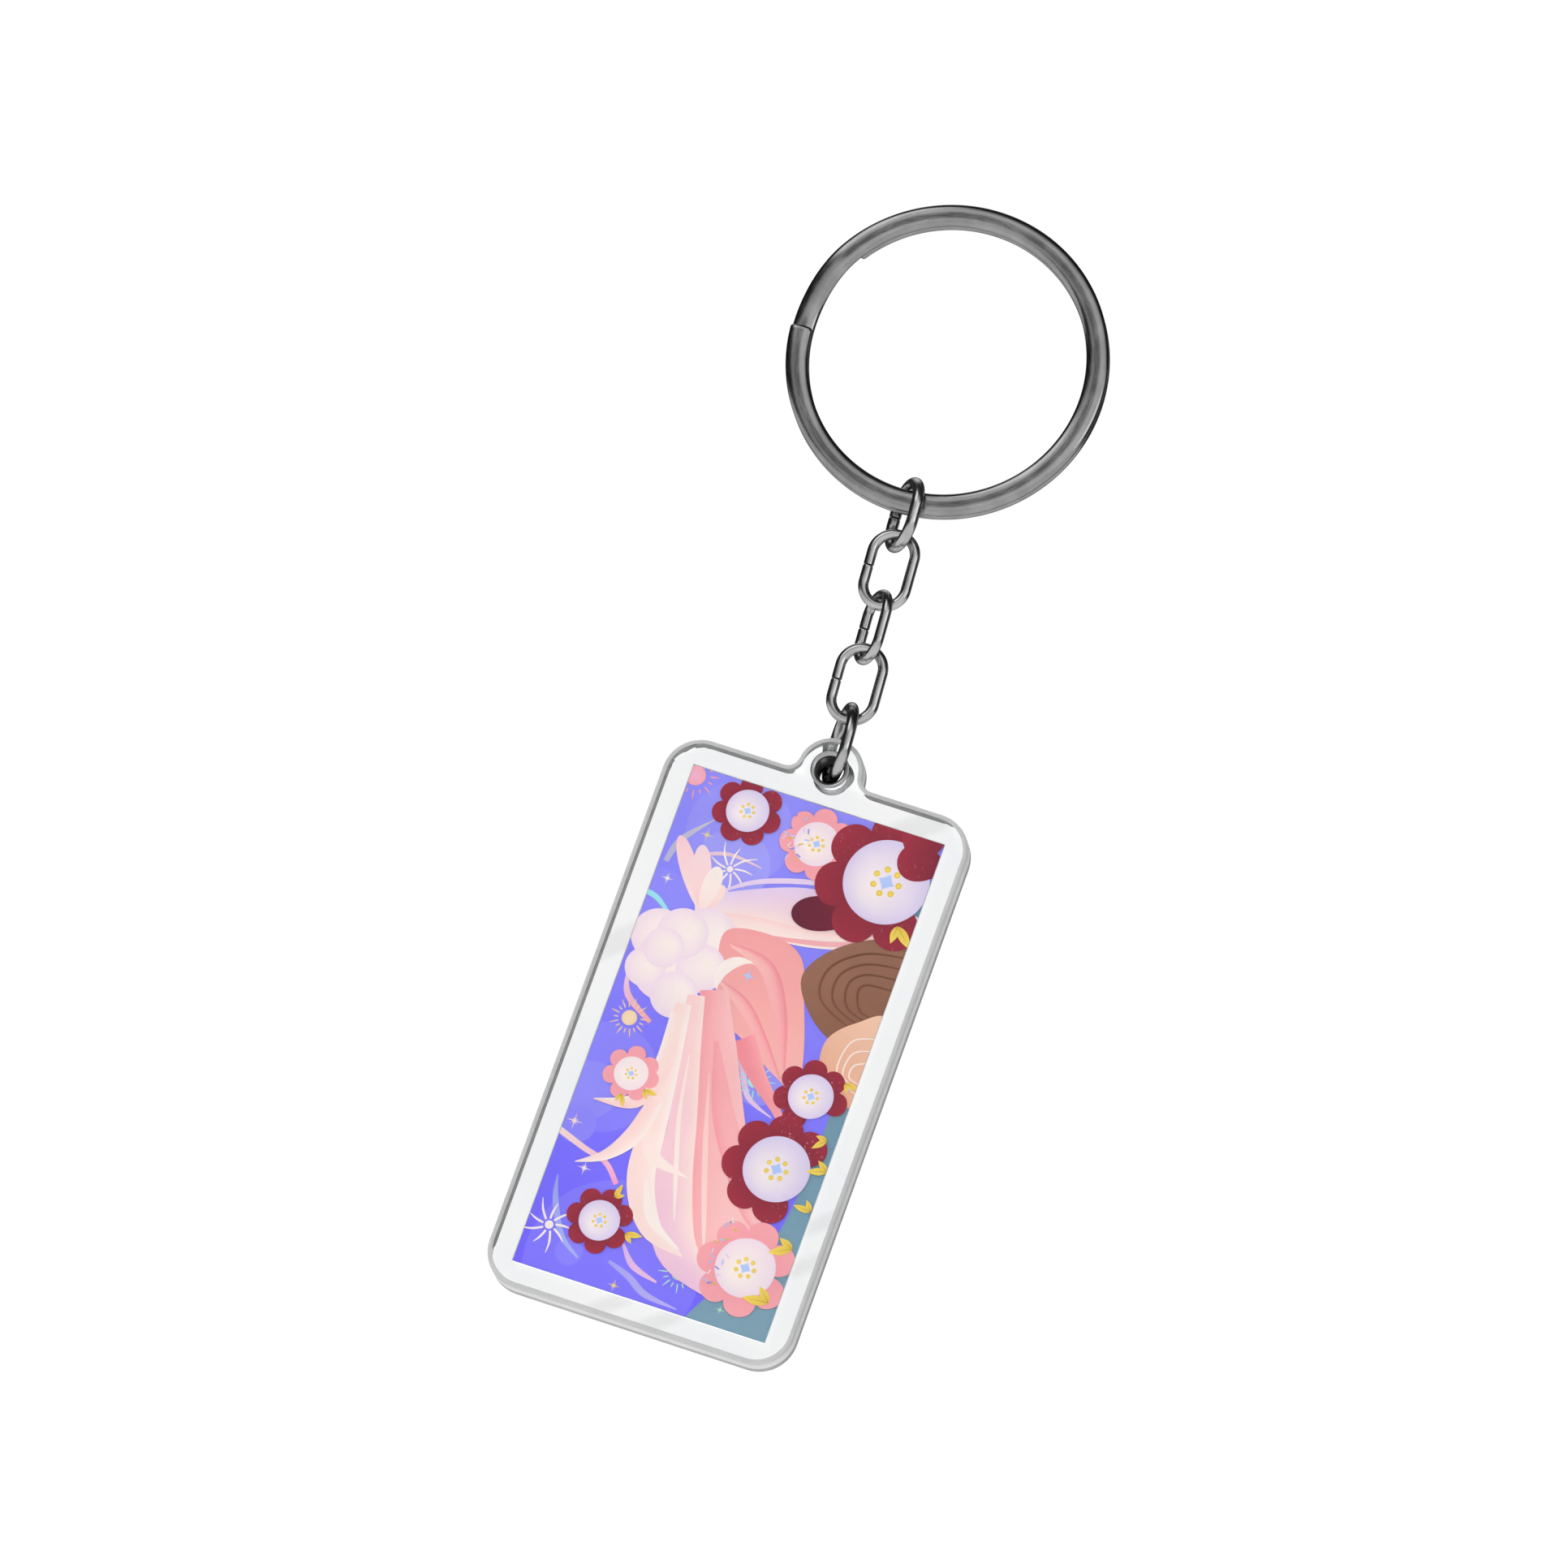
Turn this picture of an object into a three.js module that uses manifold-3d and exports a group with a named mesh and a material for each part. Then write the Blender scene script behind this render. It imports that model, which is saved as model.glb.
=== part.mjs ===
// A keychain: a flat split key ring, five interlocked wire links, and a clear acrylic tag that holds
// a printed film. Millimetres. +Z is up, X runs across the tag, and -Y is the side the print faces.
// It hangs at rest from the origin, the top of the key ring's inner wall.
import * as THREE from "three";
import { mergeVertices } from "three/addons/utils/BufferGeometryUtils.js";
import Module from "manifold-3d";

// Key ring: one flat wire wound twice, its two turns side by side along Y.
const RING_OUTER_RADIUS = 15;
const RING_BAND = 2.1; // wire width, measured along the radius
const COIL_THICKNESS = 0.95; // wire thickness, along Y
const COIL_GAP = 0.1;
const COIL_CHAMFER = 0.3;
const RING_CUT_DEG = 180; // where the front turn is cut, from +X towards +Z
const RING_JOG_DEG = 35; // the stretch where the wire steps from the front turn to the back one
const RING_END_GAP_DEG = 2; // between the back turn's end and the jog
const RING_STEP_DEG = 6;

// Links, from the key ring down. Each is an oval of round wire, turned about the chain's axis.
const LINKS = [
  { name: "ring_link", wire: 1.15, length: 7.4, width: 6.1, turn: 62 },
  { name: "chain_link_upper", wire: 1, length: 8, width: 5, turn: 0 },
  { name: "chain_link_middle", wire: 1, length: 7.4, width: 5, turn: 58 },
  { name: "chain_link_lower", wire: 1, length: 8, width: 5, turn: 0 },
  { name: "tag_link", wire: 1.1, length: 8.2, width: 7.2, turn: 71 },
];
const LINK_SIDES = 10;
const LINK_STEPS = 40;
const LINK_SEAM = 0.08; // the slit where a link's wire was closed
const LINK_PLAY = 0.1; // clearance between two links' wires
const RING_LINK_PLAY = 0.3; // room above the key ring's inner wall, under the first link's end

// Tag: two clear plates with a film and a card between them, and a lug at the top with the hole.
const TAG_WIDTH = 29.6;
const TAG_HEIGHT = 54.2;
const TAG_CORNER = 3.6;
const LUG_RADIUS = 3.1;
const LUG_FILLET = 1.2;
const HOLE_ABOVE_EDGE = 0.75; // the hole's centre stands this far above the tag's top edge
const HOLE_RADIUS = 1.55;
const FRONT_THICKNESS = 1.2;
const BACK_THICKNESS = 2.15;
const BOND_GAP = 0.05;
const TAG_BEVEL = 0.2;
const ARC_SEGMENTS = 6;
const TAG_SWING_DEG = 4.3; // the tag hangs a little askew of the chain, its foot towards -X
const HOLE_OVER_WIRE = 0.58; // the hole's centre above the wire that carries it

// Print: a colour film on a white card, both in a pocket milled into the back plate.
const PRINT_WIDTH = 24.5;
const PRINT_HEIGHT = 49.2;
const FILM_THICKNESS = 0.12;
const CARD_THICKNESS = 0.3;
const POCKET_CLEARANCE = 0.05;

// Eyelet: a flanged tube through the hole, rolled over a washer at the back.
const EYELET_BORE = 1.25;
const EYELET_WALL = 0.2;
const EYELET_RIM = 1.8;
const RIM_THICKNESS = 0.2;
const MOUTH_FLARE = 0.35; // the bore opens by this much at both mouths
const LIP_INSET = 0.1; // the rolled lip is this much smaller than the washer under it
const WASHER_THICKNESS = 0.2;
const SEAT_GAP = 0.02; // left between a rim and what it is pressed on
const EYELET_SEGMENTS = 24;

const ringInnerRadius = RING_OUTER_RADIUS - RING_BAND;
const ringMidRadius = RING_OUTER_RADIUS - RING_BAND / 2;
const ringCentreZ = -ringInnerRadius;
const tagThickness = FRONT_THICKNESS + BOND_GAP + BACK_THICKNESS;
const tagFrontY = -(tagThickness + WASHER_THICKNESS) / 2; // the eyelet is centred on the chain
const tagBackY = tagFrontY + tagThickness;

const darkNickel = { color: 0x77787b, roughness: 0.28, metalness: 1 };
const acrylic = { color: 0xf2f5f6, roughness: 0.04, metalness: 0, transparent: true, opacity: 0.35 };
const printInk = { color: 0x8f86f2, roughness: 0.45, metalness: 0 };
const whiteCard = { color: 0xf4f2ee, roughness: 0.7, metalness: 0 };

const wasm = await Module();
wasm.setup();

const keychain = new THREE.Group();

// Adds a named mesh with a material of its own to a parent group.
function addPiece(parent, name, geometry, look) {
  const mesh = new THREE.Mesh(geometry, new THREE.MeshStandardMaterial(look));
  mesh.name = name;
  parent.add(mesh);
  return mesh;
}

// A closed three.js geometry as a manifold-3d solid.
function toSolid(geometry) {
  const bare = geometry.clone();
  bare.deleteAttribute("normal");
  bare.deleteAttribute("uv");
  const merged = mergeVertices(bare);
  return new wasm.Manifold(
    new wasm.Mesh({
      numProp: 3,
      vertProperties: merged.attributes.position.array,
      triVerts: new Uint32Array(merged.index.array),
    }),
  );
}

// A manifold-3d solid as a three.js geometry.
function toGeometry(solid) {
  const mesh = solid.getMesh();
  const geometry = new THREE.BufferGeometry();
  geometry.setAttribute("position", new THREE.BufferAttribute(mesh.vertProperties, 3));
  geometry.setIndex(new THREE.BufferAttribute(mesh.triVerts, 1));
  geometry.computeVertexNormals();
  return geometry;
}

// The key ring's centreline: a full front turn, a jog to the back, and a second turn.
class SplitRingPath extends THREE.Curve {
  getPoint(t, target = new THREE.Vector3()) {
    const sweep = 720 - RING_JOG_DEG - RING_END_GAP_DEG;
    const turned = t * sweep;
    const jog = THREE.MathUtils.smoothstep(turned, 360 - RING_JOG_DEG, 360);
    const offset = (COIL_THICKNESS + COIL_GAP) / 2;
    const angle = THREE.MathUtils.degToRad(RING_CUT_DEG + turned);
    return target.set(
      ringMidRadius * Math.cos(angle),
      THREE.MathUtils.lerp(-offset, offset, jog),
      ringCentreZ + ringMidRadius * Math.sin(angle),
    );
  }
}

function makeSplitRing() {
  const [a, r, c] = [COIL_THICKNESS / 2, RING_BAND / 2, COIL_CHAMFER];
  const section = new THREE.Shape([
    new THREE.Vector2(a - c, -r),
    new THREE.Vector2(a, c - r),
    new THREE.Vector2(a, r - c),
    new THREE.Vector2(a - c, r),
    new THREE.Vector2(c - a, r),
    new THREE.Vector2(-a, r - c),
    new THREE.Vector2(-a, c - r),
    new THREE.Vector2(c - a, -r),
  ]);
  const steps = Math.round((720 - RING_JOG_DEG) / RING_STEP_DEG);
  return new THREE.ExtrudeGeometry(section, { steps, extrudePath: new SplitRingPath() });
}

// A link's centreline in its own XZ plane: an oval with straight sides, cut halfway down the -X side.
class LinkPath extends THREE.Curve {
  constructor(link) {
    super();
    this.radius = (link.width - link.wire) / 2;
    this.straight = link.length - link.width;
  }

  getPoint(t, target = new THREE.Vector3()) {
    const { radius, straight } = this;
    const arc = Math.PI * radius;
    const total = 2 * (arc + straight);
    let s = LINK_SEAM / 2 + t * (total - LINK_SEAM);
    if (s < straight / 2) return target.set(-radius, 0, s);
    s -= straight / 2;
    if (s < arc) {
      const angle = Math.PI - s / radius;
      return target.set(radius * Math.cos(angle), 0, straight / 2 + radius * Math.sin(angle));
    }
    s -= arc;
    if (s < straight) return target.set(radius, 0, straight / 2 - s);
    s -= straight;
    if (s < arc) {
      const angle = -s / radius;
      return target.set(radius * Math.cos(angle), 0, -straight / 2 + radius * Math.sin(angle));
    }
    s -= arc;
    return target.set(-radius, 0, s - straight / 2);
  }
}

function makeLink(link) {
  const section = new THREE.Shape();
  section.absarc(0, 0, link.wire / 2, 0, 2 * Math.PI);
  return new THREE.ExtrudeGeometry(section, {
    steps: LINK_STEPS,
    curveSegments: LINK_SIDES / 2,
    extrudePath: new LinkPath(link),
  });
}

// Hangs the links under the key ring, and returns the height of the last link's lowest wire centre.
function addLinks() {
  const ringWallZ = ringCentreZ - ringInnerRadius;
  let topZ = ringWallZ + RING_LINK_PLAY + LINKS[0].wire;
  let bottomWireZ = 0;
  LINKS.forEach((link, i) => {
    if (i > 0) {
      topZ = bottomWireZ + LINKS[i - 1].wire / 2 + LINK_PLAY + link.wire;
    }
    const mesh = addPiece(keychain, link.name, makeLink(link), darkNickel);
    mesh.position.z = topZ - link.length / 2;
    mesh.rotation.z = THREE.MathUtils.degToRad(-link.turn);
    bottomWireZ = topZ - link.length + link.wire / 2;
  });
  return bottomWireZ;
}

// The tag's outline with its lug and hole, around the hole's centre.
function tagOutline() {
  const half = TAG_WIDTH / 2;
  const top = -HOLE_ABOVE_EDGE;
  const bottom = top - TAG_HEIGHT;
  const corner = TAG_CORNER;
  const filletX = Math.sqrt((LUG_RADIUS + LUG_FILLET) ** 2 - (LUG_FILLET + top) ** 2);
  const lean = Math.atan2(LUG_FILLET + top, filletX);
  const shape = new THREE.Shape();
  shape.moveTo(-half + corner, bottom);
  shape.absarc(half - corner, bottom + corner, corner, -Math.PI / 2, 0, false);
  shape.absarc(half - corner, top - corner, corner, 0, Math.PI / 2, false);
  shape.absarc(filletX, top + LUG_FILLET, LUG_FILLET, -Math.PI / 2, Math.PI + lean, true);
  shape.absarc(0, 0, LUG_RADIUS, lean, Math.PI - lean, false);
  shape.absarc(-filletX, top + LUG_FILLET, LUG_FILLET, -lean, -Math.PI / 2, true);
  shape.absarc(-half + corner, top - corner, corner, Math.PI / 2, Math.PI, false);
  shape.absarc(-half + corner, bottom + corner, corner, Math.PI, 1.5 * Math.PI, false);
  const hole = new THREE.Path();
  hole.absarc(0, 0, HOLE_RADIUS, 0, 2 * Math.PI, true);
  shape.holes.push(hole);
  return shape;
}

// One acrylic plate with its edges eased, from frontY back to frontY + thickness.
function makePlate(frontY, thickness) {
  const geometry = new THREE.ExtrudeGeometry(tagOutline(), {
    depth: thickness - 2 * TAG_BEVEL,
    bevelEnabled: true,
    bevelThickness: TAG_BEVEL,
    bevelSize: TAG_BEVEL,
    bevelOffset: -TAG_BEVEL,
    bevelSegments: 1,
    curveSegments: ARC_SEGMENTS,
  });
  geometry.rotateX(Math.PI / 2);
  geometry.translate(0, frontY + thickness - TAG_BEVEL, 0);
  return geometry;
}

// A thin rectangular sheet behind the front plate, from frontY back to frontY + thickness.
function makeSheet(frontY, thickness, clearance = 0) {
  const geometry = new THREE.BoxGeometry(
    PRINT_WIDTH + 2 * clearance,
    thickness,
    PRINT_HEIGHT + 2 * clearance,
  );
  geometry.translate(0, frontY + thickness / 2, -HOLE_ABOVE_EDGE - TAG_HEIGHT / 2);
  return geometry;
}

// A closed profile of [radius, y] corners, turned around the Y axis.
function turnProfile(corners) {
  const points = corners.map(([radius, y]) => new THREE.Vector2(radius, y));
  points.push(points[0].clone());
  return new THREE.LatheGeometry(points, EYELET_SEGMENTS);
}

// The eyelet: its tube, its front rim, and the lip that is rolled over the washer at the back.
function makeEyelet() {
  const tubeRadius = EYELET_BORE + EYELET_WALL;
  const frontFace = tagFrontY - RIM_THICKNESS;
  const rimSeat = tagFrontY - SEAT_GAP;
  const lipSeat = tagBackY + WASHER_THICKNESS + 2 * SEAT_GAP;
  const backFace = tagBackY + WASHER_THICKNESS + RIM_THICKNESS;
  const lipRadius = EYELET_RIM - LIP_INSET;
  return turnProfile([
    [EYELET_BORE, frontFace + MOUTH_FLARE],
    [EYELET_BORE + MOUTH_FLARE, frontFace],
    [EYELET_RIM, frontFace],
    [EYELET_RIM, rimSeat],
    [tubeRadius, rimSeat],
    [tubeRadius, lipSeat],
    [lipRadius, lipSeat],
    [lipRadius, backFace],
    [EYELET_BORE + MOUTH_FLARE, backFace],
    [EYELET_BORE, backFace - MOUTH_FLARE],
  ]);
}

function makeWasher() {
  const inner = EYELET_BORE + EYELET_WALL + SEAT_GAP;
  const front = tagBackY + SEAT_GAP;
  return turnProfile([
    [inner, front],
    [EYELET_RIM, front],
    [EYELET_RIM, front + WASHER_THICKNESS],
    [inner, front + WASHER_THICKNESS],
  ]);
}

function addTag(holeZ) {
  const tag = new THREE.Group();
  tag.position.z = holeZ;
  tag.rotation.y = THREE.MathUtils.degToRad(TAG_SWING_DEG);
  keychain.add(tag);

  const backFrontY = tagFrontY + FRONT_THICKNESS + BOND_GAP;
  const pocketDepth = FILM_THICKNESS + CARD_THICKNESS + 2 * POCKET_CLEARANCE;
  const pocket = makeSheet(backFrontY - BOND_GAP, pocketDepth + BOND_GAP, POCKET_CLEARANCE);
  const backPlate = toSolid(makePlate(backFrontY, BACK_THICKNESS)).subtract(toSolid(pocket));
  const filmY = backFrontY;
  const cardY = filmY + FILM_THICKNESS + POCKET_CLEARANCE;

  addPiece(tag, "front_plate", makePlate(tagFrontY, FRONT_THICKNESS), acrylic);
  addPiece(tag, "back_plate", toGeometry(backPlate), acrylic);
  addPiece(tag, "art_print", makeSheet(filmY, FILM_THICKNESS), printInk);
  addPiece(tag, "backing_card", makeSheet(cardY, CARD_THICKNESS), whiteCard);
  addPiece(tag, "eyelet", makeEyelet(), darkNickel);
  addPiece(tag, "eyelet_washer", makeWasher(), darkNickel);
}

addPiece(keychain, "split_ring", makeSplitRing(), darkNickel);
const lastWireZ = addLinks();
addTag(lastWireZ + HOLE_OVER_WIRE);

export default keychain;
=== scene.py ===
# Looks of a keychain: a split key ring, five wire links and a clear acrylic tag with a printed picture.
# Lengths in the constants are millimetres and are turned into metres by MM.
import math
import random

import bmesh
import bpy
from mathutils import Matrix, Vector
from mathutils.geometry import tessellate_polygon


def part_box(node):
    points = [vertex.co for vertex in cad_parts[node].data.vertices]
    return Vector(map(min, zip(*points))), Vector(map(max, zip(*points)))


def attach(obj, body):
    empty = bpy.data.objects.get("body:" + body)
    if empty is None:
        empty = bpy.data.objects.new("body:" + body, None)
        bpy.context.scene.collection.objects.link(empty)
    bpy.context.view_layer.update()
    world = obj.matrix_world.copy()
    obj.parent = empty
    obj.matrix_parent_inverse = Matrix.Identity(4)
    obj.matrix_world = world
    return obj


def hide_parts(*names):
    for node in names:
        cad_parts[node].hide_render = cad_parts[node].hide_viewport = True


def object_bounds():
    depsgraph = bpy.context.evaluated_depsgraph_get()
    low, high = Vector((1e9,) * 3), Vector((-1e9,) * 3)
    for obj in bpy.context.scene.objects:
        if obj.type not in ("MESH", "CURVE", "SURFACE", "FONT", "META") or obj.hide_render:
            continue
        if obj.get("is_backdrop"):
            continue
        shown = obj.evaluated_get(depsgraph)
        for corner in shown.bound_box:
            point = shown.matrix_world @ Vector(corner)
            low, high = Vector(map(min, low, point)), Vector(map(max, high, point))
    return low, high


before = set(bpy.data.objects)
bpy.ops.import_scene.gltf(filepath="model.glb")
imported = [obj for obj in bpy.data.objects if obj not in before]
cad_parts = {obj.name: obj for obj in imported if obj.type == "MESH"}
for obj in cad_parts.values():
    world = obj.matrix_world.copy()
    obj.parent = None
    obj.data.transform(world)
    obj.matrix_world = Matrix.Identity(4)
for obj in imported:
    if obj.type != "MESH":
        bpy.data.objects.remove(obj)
cad_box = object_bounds()

MM = 0.001

# Key ring: one flat wire wound twice, its turns side by side along Y.
RING_RADIUS = 15.0
RING_BAND = 2.1
COIL_THICKNESS = 0.95
COIL_GAP = 0.1
COIL_POWER = 2.5
RING_CUT_DEG = 180.0
RING_JOG_DEG = 35.0
RING_END_GAP_DEG = 2.0
RING_MID = RING_RADIUS - RING_BAND / 2
RING_CENTRE_Z = RING_BAND - RING_RADIUS

# Links, from the key ring down: CAD node, body, wire, width, length, turn about the chain in degrees.
LINKS = (
    ("ring_link", "ring_link", 1.15, 6.1, 7.4, 62.0),
    ("chain_link_upper", "upper_link", 1.0, 5.0, 8.0, 0.0),
    ("chain_link_middle", "middle_link", 1.0, 5.0, 7.4, 58.0),
    ("chain_link_lower", "lower_link", 1.0, 5.0, 8.0, 0.0),
    ("tag_link", "tag_link", 1.1, 7.2, 8.2, 71.0),
)
LINK_SEAM = 0.08
# The wires are drawn a little thinner than in the CAD, so that neighbours clear each other at full swing.
WIRE_SHARE = 0.97

# Tag, in its own frame: the origin is the middle of the eyelet's bore.
TAG_WIDTH = 29.6
TAG_HEIGHT = 54.2
TAG_CORNER = 3.6
LUG_RADIUS = 3.1
LUG_FILLET = 1.2
HOLE_ABOVE_EDGE = 0.75
HOLE_RADIUS = 1.55
FRONT_Y = -1.8
FRONT_THICKNESS = 1.2
BOND_GAP = 0.05
BACK_THICKNESS = 2.15
SKIN = 0.01  # kept between the drawn outline and the CAD's
OUTER_ROUND = 0.34
FACET_WIDTH = 0.12
FACET_DROP = 0.035
INNER_ROUND = 0.02
BACK_BAND = 1.45
TAG_SWING_DEG = 4.3
PRINT_WIDTH = 24.5
PRINT_HEIGHT = 49.2
PRINT_CENTRE_Z = -HOLE_ABOVE_EDGE - TAG_HEIGHT / 2
FILM_Y = -0.435
INK_STEP = 0.004
INK_SHARE = 0.0003
INK_TURNS = 12
CARD_FRONT_Y = -0.38
CARD_THICKNESS = 0.3
POCKET_DEPTH = 0.52
POCKET_CLEARANCE = 0.05

# Eyelet and washer.
BORE_RADIUS = 1.25
EYELET_WALL = 0.2
RIM_RADIUS = 1.8
RIM_THICKNESS = 0.2
LIP_RADIUS = 1.7
MOUTH_ROUND = 0.4
RIM_EDGE = 0.09
WASHER_EDGE = 0.07
WASHER_THICKNESS = 0.2
SEAT_GAP = 0.02
BACK_Y = FRONT_Y + FRONT_THICKNESS + BOND_GAP + BACK_THICKNESS

# Finishes. A metal's tones are a little blue. The satin tones are painted shade: one satin acrylic edge,
# lighter or darker on the front bevel, the side wall and the back edge as the light falls on each. A
# painted reflection streak is how far its middle is from the print's top left corner, and its width.
BLUE_CAST = 0.003
ACRYLIC_IOR = 1.49
SPECKLE_STRENGTH = 0.6
# Painted shade: each face of the one satin edge gets its own tone.
EDGE_PAINTED_SHADES = (("satin_bevel", 0.44), ("satin_side", 0.68), ("satin_back", 0.33))
# Painted reflection streaks: grey bands on the back plate's border that stand in for reflections on the
# clear acrylic.
REFLECTION_STREAKS = ((13.0, 2.5), (44.8, 1.5), (48.0, 1.5))
REFLECTION_STREAK_LEAN = (0.64, 0.77)
REFLECTION_STREAK_TONE = 0.9

# Light. A lamp is its name, azimuth, elevation and watts. A glow of the world is its azimuth, elevation,
# the cosines of the angles where it starts and is full, and its level; a softbox has the angle where it is
# full and where it ends, in degrees, in place of the cosines. A mirror darkens the part of the studio that
# the plates' faces mirror into the camera: the cosines where it starts and is full, and what it takes away.
LAMPS = (("key_light", -40, 36, 3.0), ("fill_light", 55, 10, 2.0), ("rim_light", 205, 45, 3.0))
LAMP_DISTANCE = 1.8
LAMP_SIZE = 0.9
METAL_BASE = 0.02
METAL_GLOWS = ((12, 6, 0.72, 0.985, 1.2), (180, 0, 0.3, 0.97, 0.16))
SOFTBOXES = ((-28, 32, 12, 22, 0.8), (46, 6, 7, 13, 1.6), (210, 50, 18, 30, 0.9), (140, 20, 10, 18, 0.6))
CLEAR_BASE = 0.62
CLEAR_GLOWS = ((180, 0, 0.6, 0.93, 0.43), (0, 0, 0.6, 0.93, 0.43))
METAL_MIRROR = (0.986, 0.996, 0.75)
CLEAR_MIRROR = (0.974, 0.99, 0.95)
LEFT_GLOW = (-70, 30, 0.0, 1.0, 1.1)
OPEN_LEVEL = 0.68
UNDER_GLASS_LEVEL = 1.5
BACKDROP_LEVEL = 1.02
FLOOR_SIDE = 4.0
FLOOR_DROP = -0.6

# Camera, as seen from the tag: to its right, below it, and rolled.
VIEW_AZIMUTH = 9.5
VIEW_ELEVATION = -13.0
VIEW_ROLL = 15.7
VIEW_WIDTH = 143.9
VIEW_RIGHT = -4.0
VIEW_UP = -2.0
LENS = 350.0
SENSOR = 36.0


def hole_centre():
    low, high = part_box("eyelet")
    return Vector(((low[0] + high[0]) / 2, 0.0, (low[2] + high[2]) / 2))


TAG_TO_ROW = Matrix.Translation(hole_centre()) @ Matrix.Rotation(math.radians(TAG_SWING_DEG), 4, "Y")


# ---------------------------------------------------------------- mesh tools


def place_object(name, data):
    obj = bpy.data.objects.new(name, data)
    bpy.context.scene.collection.objects.link(obj)
    return obj


def new_object(name, mesh, material, body, replaced=None):
    obj = place_object(name, mesh)
    mesh.materials.append(material)
    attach(obj, body)
    if replaced:
        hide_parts(replaced)
    return obj


def shade(mesh, angle):
    mesh.shade_smooth()
    mesh.set_sharp_from_angle(angle=math.radians(angle))


def keep_flat_faces_flat(obj):
    modifier = obj.modifiers.new("weighted_normals", "WEIGHTED_NORMAL")
    modifier.keep_sharp = True
    modifier.weight = 60


def mesh_from_rings(name, rings, closed_along=False, marks=None):
    """A tube through rings of points; marks holds each ring's distance along the wire."""
    count = len(rings[0])
    vertices = [p for ring in rings for p in ring]
    faces = []
    last = len(rings) if closed_along else len(rings) - 1
    for i in range(last):
        here, there = i * count, ((i + 1) % len(rings)) * count
        for k in range(count):
            n = (k + 1) % count
            faces.append((here + k, here + n, there + n, there + k))
    if not closed_along:
        faces.append(tuple(range(count - 1, -1, -1)))
        faces.append(tuple(range((len(rings) - 1) * count, len(rings) * count)))
    mesh = bpy.data.meshes.new(name)
    mesh.from_pydata(vertices, [], faces)
    mesh.validate()
    bm = bmesh.new()
    bm.from_mesh(mesh)
    bmesh.ops.recalc_face_normals(bm, faces=bm.faces)
    bm.to_mesh(mesh)
    bm.free()
    if marks:
        grain = mesh.attributes.new("grain", "FLOAT_VECTOR", "POINT")
        for i, along in enumerate(marks):
            for k in range(count):
                turn = 2 * math.pi * k / count
                grain.data[i * count + k].vector = (along, math.cos(turn), math.sin(turn))
    return mesh


def sweep(name, path, section, ends=0.1):
    """Sweeps a section of (across, out) points along a path of (centre, across, out, tangent)."""
    easing = ((0.0, 0.72), (0.25, 0.9), (0.6, 0.98))
    first, last = path[0], path[-1]
    stations = [(c + t * e * ends, a, o, s) for e, s in easing for c, a, o, t in [first]]
    stations += [(c, a, o, 1.0) for c, a, o, t in path[1:-1]]
    stations += [(c - t * e * ends, a, o, s) for e, s in reversed(easing) for c, a, o, t in [last]]
    rings = [[c + (a * u + o * v) * s for u, v in section] for c, a, o, s in stations]
    marks = [0.0]
    for before, after in zip(stations, stations[1:]):
        marks.append(marks[-1] + (after[0] - before[0]).length)
    mesh = mesh_from_rings(name, [[p * MM for p in ring] for ring in rings], marks=marks)
    shade(mesh, 50)
    return mesh


def oval(half_across, half_out, power, sides=60):
    """A flattened oval: power 2 is an ellipse, and a higher power has flatter wide sides."""
    points = []
    for i in range(sides):
        angle = 2 * math.pi * (i + 0.5) / sides
        u, v = math.cos(angle), math.sin(angle)
        points.append((math.copysign(half_across * abs(u) ** (2 / power), u),
                       math.copysign(half_out * abs(v) ** (2 / power), v)))
    return points


def circle(radius, sides):
    return [
        (radius * math.cos(2 * math.pi * i / sides), radius * math.sin(2 * math.pi * i / sides))
        for i in range(sides)
    ]


def smoothstep(low, high, value):
    t = min(1.0, max(0.0, (value - low) / (high - low)))
    return t * t * (3 - 2 * t)


# ---------------------------------------------------------------- node tools


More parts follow.
